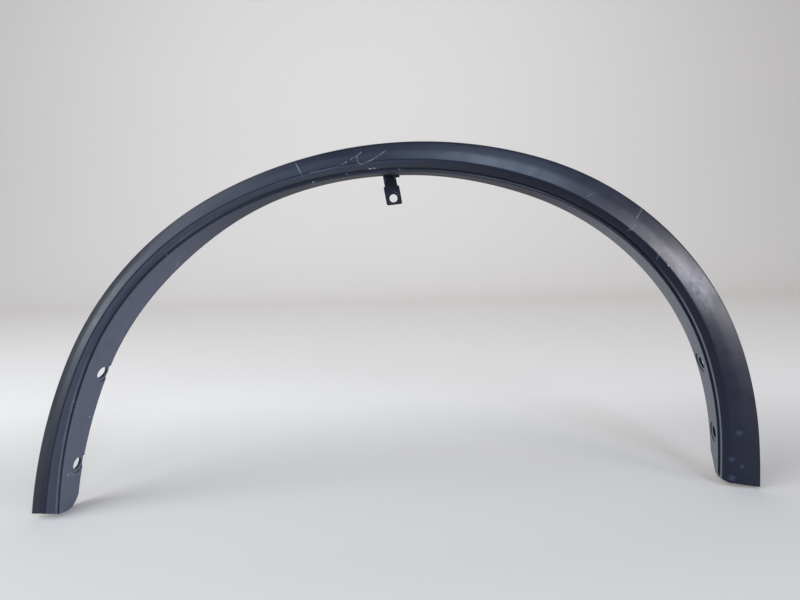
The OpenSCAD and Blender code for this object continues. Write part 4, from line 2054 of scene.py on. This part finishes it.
        # Masks of the dusty films with their painted sheen.
        dust_and_sheen = [self.dust_and_sheen_mask(tree, surface, millimetres, film) for film in self.dust_and_sheen]
        colour = self.worn_and_painted_light_colour(tree, millimetres, clean, dust_and_sheen)
        gloss = self.gloss(tree, millimetres, dust_and_sheen)
        normal = self.grain(tree, millimetres)
        skin = add_node(
            tree,
            "ShaderNodeBsdfPrincipled",
            None,
            {
                "Base Color": colour,
                "Roughness": gloss,
                "IOR": self.ior,
                "Specular IOR Level": self.specular,
                "Normal": normal,
            },
        )
        add_node(tree, "ShaderNodeOutputMaterial", None, {"Surface": skin.outputs["BSDF"]})
        return made


@dataclass
class ArchMoulding:
    """The whole moulding: strip, ribs, tab, seats and foot cuts in one skin.

    Attributes:
        section: The section.
        finish: The finish of the plastic.
        sharp_angle: Angle from which an edge is shaded as a real edge, in degrees.
        face_weight: How much larger faces count where normals are evened out.
    """

    section: Section = field(default_factory=Section)
    finish: GrainedPolypropylene = field(default_factory=GrainedPolypropylene)
    sharp_angle: float = 34
    face_weight: int = 80

    def build(self) -> bpy.types.Object:
        """Returns:
            The finished piece.
        """
        material = self.finish.material()
        copies = PlacedCopies()
        seats = ScrewSeats(self.section)
        ribs = HiddenRibs(self.section)
        tab = TopTab(self.section)
        piece = LoftedStrip(self.section).build(material)
        log.info("strip: %d faces", len(piece.data.polygons))
        pads = copies.lay("seat_pads", seats.pad_disc(), seats.frames(), material)
        blades = copies.lay("clip_blades", ribs.blade_shape(), ribs.blade_frames(), material)
        worked(piece, [pads, blades, *ribs.gussets()], Work.ADD)
        log.info("hidden side: %d faces", len(piece.data.polygons))
        worked(piece, tab.pieces(), Work.ADD)
        drills = copies.lay("seat_cutters", seats.cutter(), seats.frames(), material)
        worked(piece, [drills, tab.drill(), *FootTrims(self.section).cutters()], Work.CUT)
        log.info("tab, seats and feet: %d faces", len(piece.data.polygons))
        self.dress(piece, material)
        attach(piece, BODY)
        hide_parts(NODE)
        return piece

    def dress(self, piece: bpy.types.Object, material: bpy.types.Material) -> None:
        """Gives the skin its one finish and shades it smooth between real edges.

        Args:
            piece: The moulding after all its cuts.
            material: The finish.
        """
        mesh = piece.data
        count = len(mesh.polygons)
        mesh.materials.clear()
        mesh.materials.append(material)
        mesh.polygons.foreach_set("material_index", [0] * count)
        mesh.polygons.foreach_set("use_smooth", [True] * count)
        mesh.set_sharp_from_angle(angle=math.radians(self.sharp_angle))
        step = piece.modifiers.new("even_normals", "WEIGHTED_NORMAL")
        step.keep_sharp = True
        step.weight = self.face_weight
        evaluated(piece)


@dataclass(frozen=True)
class SoftBox:
    """One soft studio lamp.

    Attributes:
        name: Name of the lamp.
        place: Where it is, in metres.
        target: Where it points, in metres.
        width: Width of its face, in metres.
        height: Height of its face, in metres.
        watts: Its power.
        colour: Colour of its light.
    """

    name: str
    place: Place
    target: Place
    width: float
    height: float
    watts: float
    colour: str = "#ffffff"

    def build(self) -> bpy.types.Object:
        """Builds the lamp.

        Returns:
            The lamp, aimed at its target.
        """
        lamp = bpy.data.lights.new(self.name, "AREA")
        lamp.shape = "RECTANGLE"
        lamp.size, lamp.size_y = self.width, self.height
        lamp.energy = self.watts
        lamp.color = linear_colour(self.colour)[:3]
        made = bpy.data.objects.new(self.name, lamp)
        bpy.context.scene.collection.objects.link(made)
        made.location = self.place
        aim = Vector(self.target) - Vector(self.place)
        made.rotation_euler = aim.to_track_quat("-Z", "Y").to_euler()
        return made


@dataclass
class Studio:
    """Pale floor that runs up into a backdrop, soft lamps and the camera.

    Lengths are in metres, but for the camera.

    Attributes:
        near_painted_shade: Colour of the paper round the moulding, darkened as painted shade.
        far_colour: Colour of the paper behind it, the palest.
        outer_painted_shade: Colour of the paper far in front, outside the picture, darkened as
            painted shade where lamplight would fall off.
        near_span: Where the near colour ends and the far one is full.
        outer_span: Where the outer colour ends and the near one is full.
        paper_roughness: Roughness of the paper.
        paper_specular: Level of its reflections.
        world_colour: Colour of the light from all round.
        world_strength: Its strength.
        half_width: Half the width of the floor.
        front: Front end of the floor.
        back: Where it starts to run up.
        cove: Radius of the run up.
        cove_steps: Steps round it.
        wall_top: Top of the backdrop.
        eye_mm: Place of the camera, in millimetres.
        forward: Direction in which it looks.
        up: Direction of the picture's top.
        lens: Focal length, in millimetres.
        sensor: Width of the sensor, in millimetres.
        lamps: The lamps.
    """

    near_painted_shade: str = "#c7c1ba"
    far_colour: str = "#e6e0d9"
    outer_painted_shade: str = "#75726e"
    near_span: Span = (0.05, 0.45)
    outer_span: Span = (-0.55, -0.2)
    paper_roughness: float = 0.85
    paper_specular: float = 0.2
    world_colour: str = "#e6eaf0"
    world_strength: float = 0.48
    half_width: float = 5.0
    front: float = -1.2
    back: float = 1.8
    cove: float = 1.2
    cove_steps: int = 24
    wall_top: float = 4.5
    eye_mm: Place = (-41.86, -661.1, 310.81)
    forward: Place = (0.05546, 0.99093, -0.12243)
    up: Place = (0.02287, 0.12133, 0.99235)
    lens: float = 27.0
    sensor: float = 36.0
    lamps: tuple[SoftBox, ...] = (
        SoftBox("window_right", (1.8, -1.63, 0.4), (0.33, 0, 0.28), 0.9, 0.5, 36, "#fbf8ff"),
        SoftBox("high_window", (0.64, -1.76, 1.2), (0.1, 0, 0.36), 0.7, 0.5, 21, "#cee2ff"),
        SoftBox("left_mid", (-1.9, -0.95, 0.7), (-0.3, 0, 0.25), 1.2, 0.8, 26, "#eaf6ff"),
        SoftBox("left_high", (-1.5, -0.8, 1.6), (-0.25, 0, 0.3), 1.4, 1.0, 19, "#eaf2ff"),
        SoftBox("left_front", (-0.9, -1.7, 1.25), (-0.2, 0, 0.35), 1.2, 0.8, 14, "#cee2ff"),
        SoftBox("left_floor", (-1.6, -1.0, 0.12), (-0.35, 0, 0.1), 1.2, 0.2, 3, "#e8f8ff"),
        SoftBox("top_rear", (0, 1.5, 2.6), (0, 1.2, 0), 3.0, 1.6, 6),
        SoftBox("wall_wash", (0, 0.8, 2.3), (0, 3, 1.0), 3.0, 0.8, 6),
    )

    def paper(self) -> bpy.types.Material:
        """Matt paper of the floor, with painted shade: it darkens in front as falling-off lamplight
        would.

        Returns:
            The material, pale round the moulding and palest behind it, its darker tones painted
            shade.
        """
        made = bpy.data.materials.new("matt_paper")
        made.use_nodes = True
        tree = made.node_tree
        place = add_node(tree, "ShaderNodeTexCoord").outputs["Object"]
        depth = add_node(tree, "ShaderNodeSeparateXYZ", None, {"Vector": place}).outputs["Y"]
        # Painted shade: the colour darkens from the paper behind the moulding towards the front.
        colour = linear_colour(self.outer_painted_shade)
        steps = ((self.outer_span, self.near_painted_shade), (self.near_span, self.far_colour))
        for (start, end), shade in steps:
            share = add_node(
                tree,
                "ShaderNodeMapRange",
                {"interpolation_type": "SMOOTHSTEP"},
                {"Value": depth, "From Min": start, "From Max": end},
            )
            colour = add_node(
                tree,
                "ShaderNodeMix",
                {"data_type": "RGBA"},
                {
                    "Factor": share.outputs["Result"],
                    COLOUR_A: colour,
                    COLOUR_B: linear_colour(shade),
                },
            ).outputs[COLOUR_MIXED]
        skin = tree.nodes["Principled BSDF"]
        tree.links.new(colour, skin.inputs["Base Color"])
        skin.inputs["Roughness"].default_value = self.paper_roughness
        skin.inputs["Specular IOR Level"].default_value = self.paper_specular
        return made

    def floor(self) -> bpy.types.Object:
        """Builds the floor and backdrop as one swept sheet.

        Returns:
            The sheet, marked as part of the stage.
        """
        profile = [(self.front, 0.0)]
        for i in range(self.cove_steps + 1):
            angle = math.radians(90 * i / self.cove_steps)
            run, rise = self.cove * math.sin(angle), self.cove * (1 - math.cos(angle))
            profile.append((self.back + run, rise))
        profile.append((self.back + self.cove, self.wall_top))
        shape = bmesh.new()
        rows = [
            [shape.verts.new((x, y, z)) for x in (-self.half_width, self.half_width)]
            for y, z in profile
        ]
        for low, high in zip(rows, rows[1:]):
            shape.faces.new((low[0], low[1], high[1], high[0])).smooth = True
        mesh = bpy.data.meshes.new("floor")
        shape.to_mesh(mesh)
        shape.free()
        mesh.materials.append(self.paper())
        made = mesh_object("floor", mesh)
        return made

    def world(self) -> None:
        """Lights the scene evenly from all round."""
        world = bpy.data.worlds.new("studio")
        bpy.context.scene.world = world
        world.use_nodes = True
        sky = world.node_tree.nodes["Background"]
        sky.inputs["Color"].default_value = linear_colour(self.world_colour)
        sky.inputs["Strength"].default_value = self.world_strength

    def camera(self) -> bpy.types.Object:
        """Sets the camera at the photograph's viewing angle.

        Returns:
            The camera, which is the scene's own.
        """
        data = bpy.data.cameras.new("camera")
        data.lens = self.lens
        data.sensor_width = self.sensor
        made = bpy.data.objects.new("camera", data)
        bpy.context.scene.collection.objects.link(made)
        back = -Vector(self.forward).normalized()
        side = Vector(self.up).cross(back).normalized()
        up = back.cross(side)
        turn = Matrix((side, up, back)).transposed().to_4x4()
        made.matrix_world = Matrix.Translation(Vector(self.eye_mm) * MM) @ turn
        bpy.context.scene.camera = made
        return made

    def build(self) -> None:
        """Builds floor, world, lamps and camera, and sets the plain view."""
        self.floor()
        self.world()
        for lamp in self.lamps:
            lamp.build()
        self.camera()
        bpy.context.scene.view_settings.view_transform = "Standard"


def main() -> None:
    """Builds the studio and the moulding."""
    logging.basicConfig(level=logging.INFO, format="%(name)s: %(message)s")
    Studio().build()
    log.info("studio: floor, world, lamps and camera")
    piece = ArchMoulding().build()
    log.info("%s: %d faces", piece.name, len(piece.data.polygons))


if __name__ == "__main__":
    main()
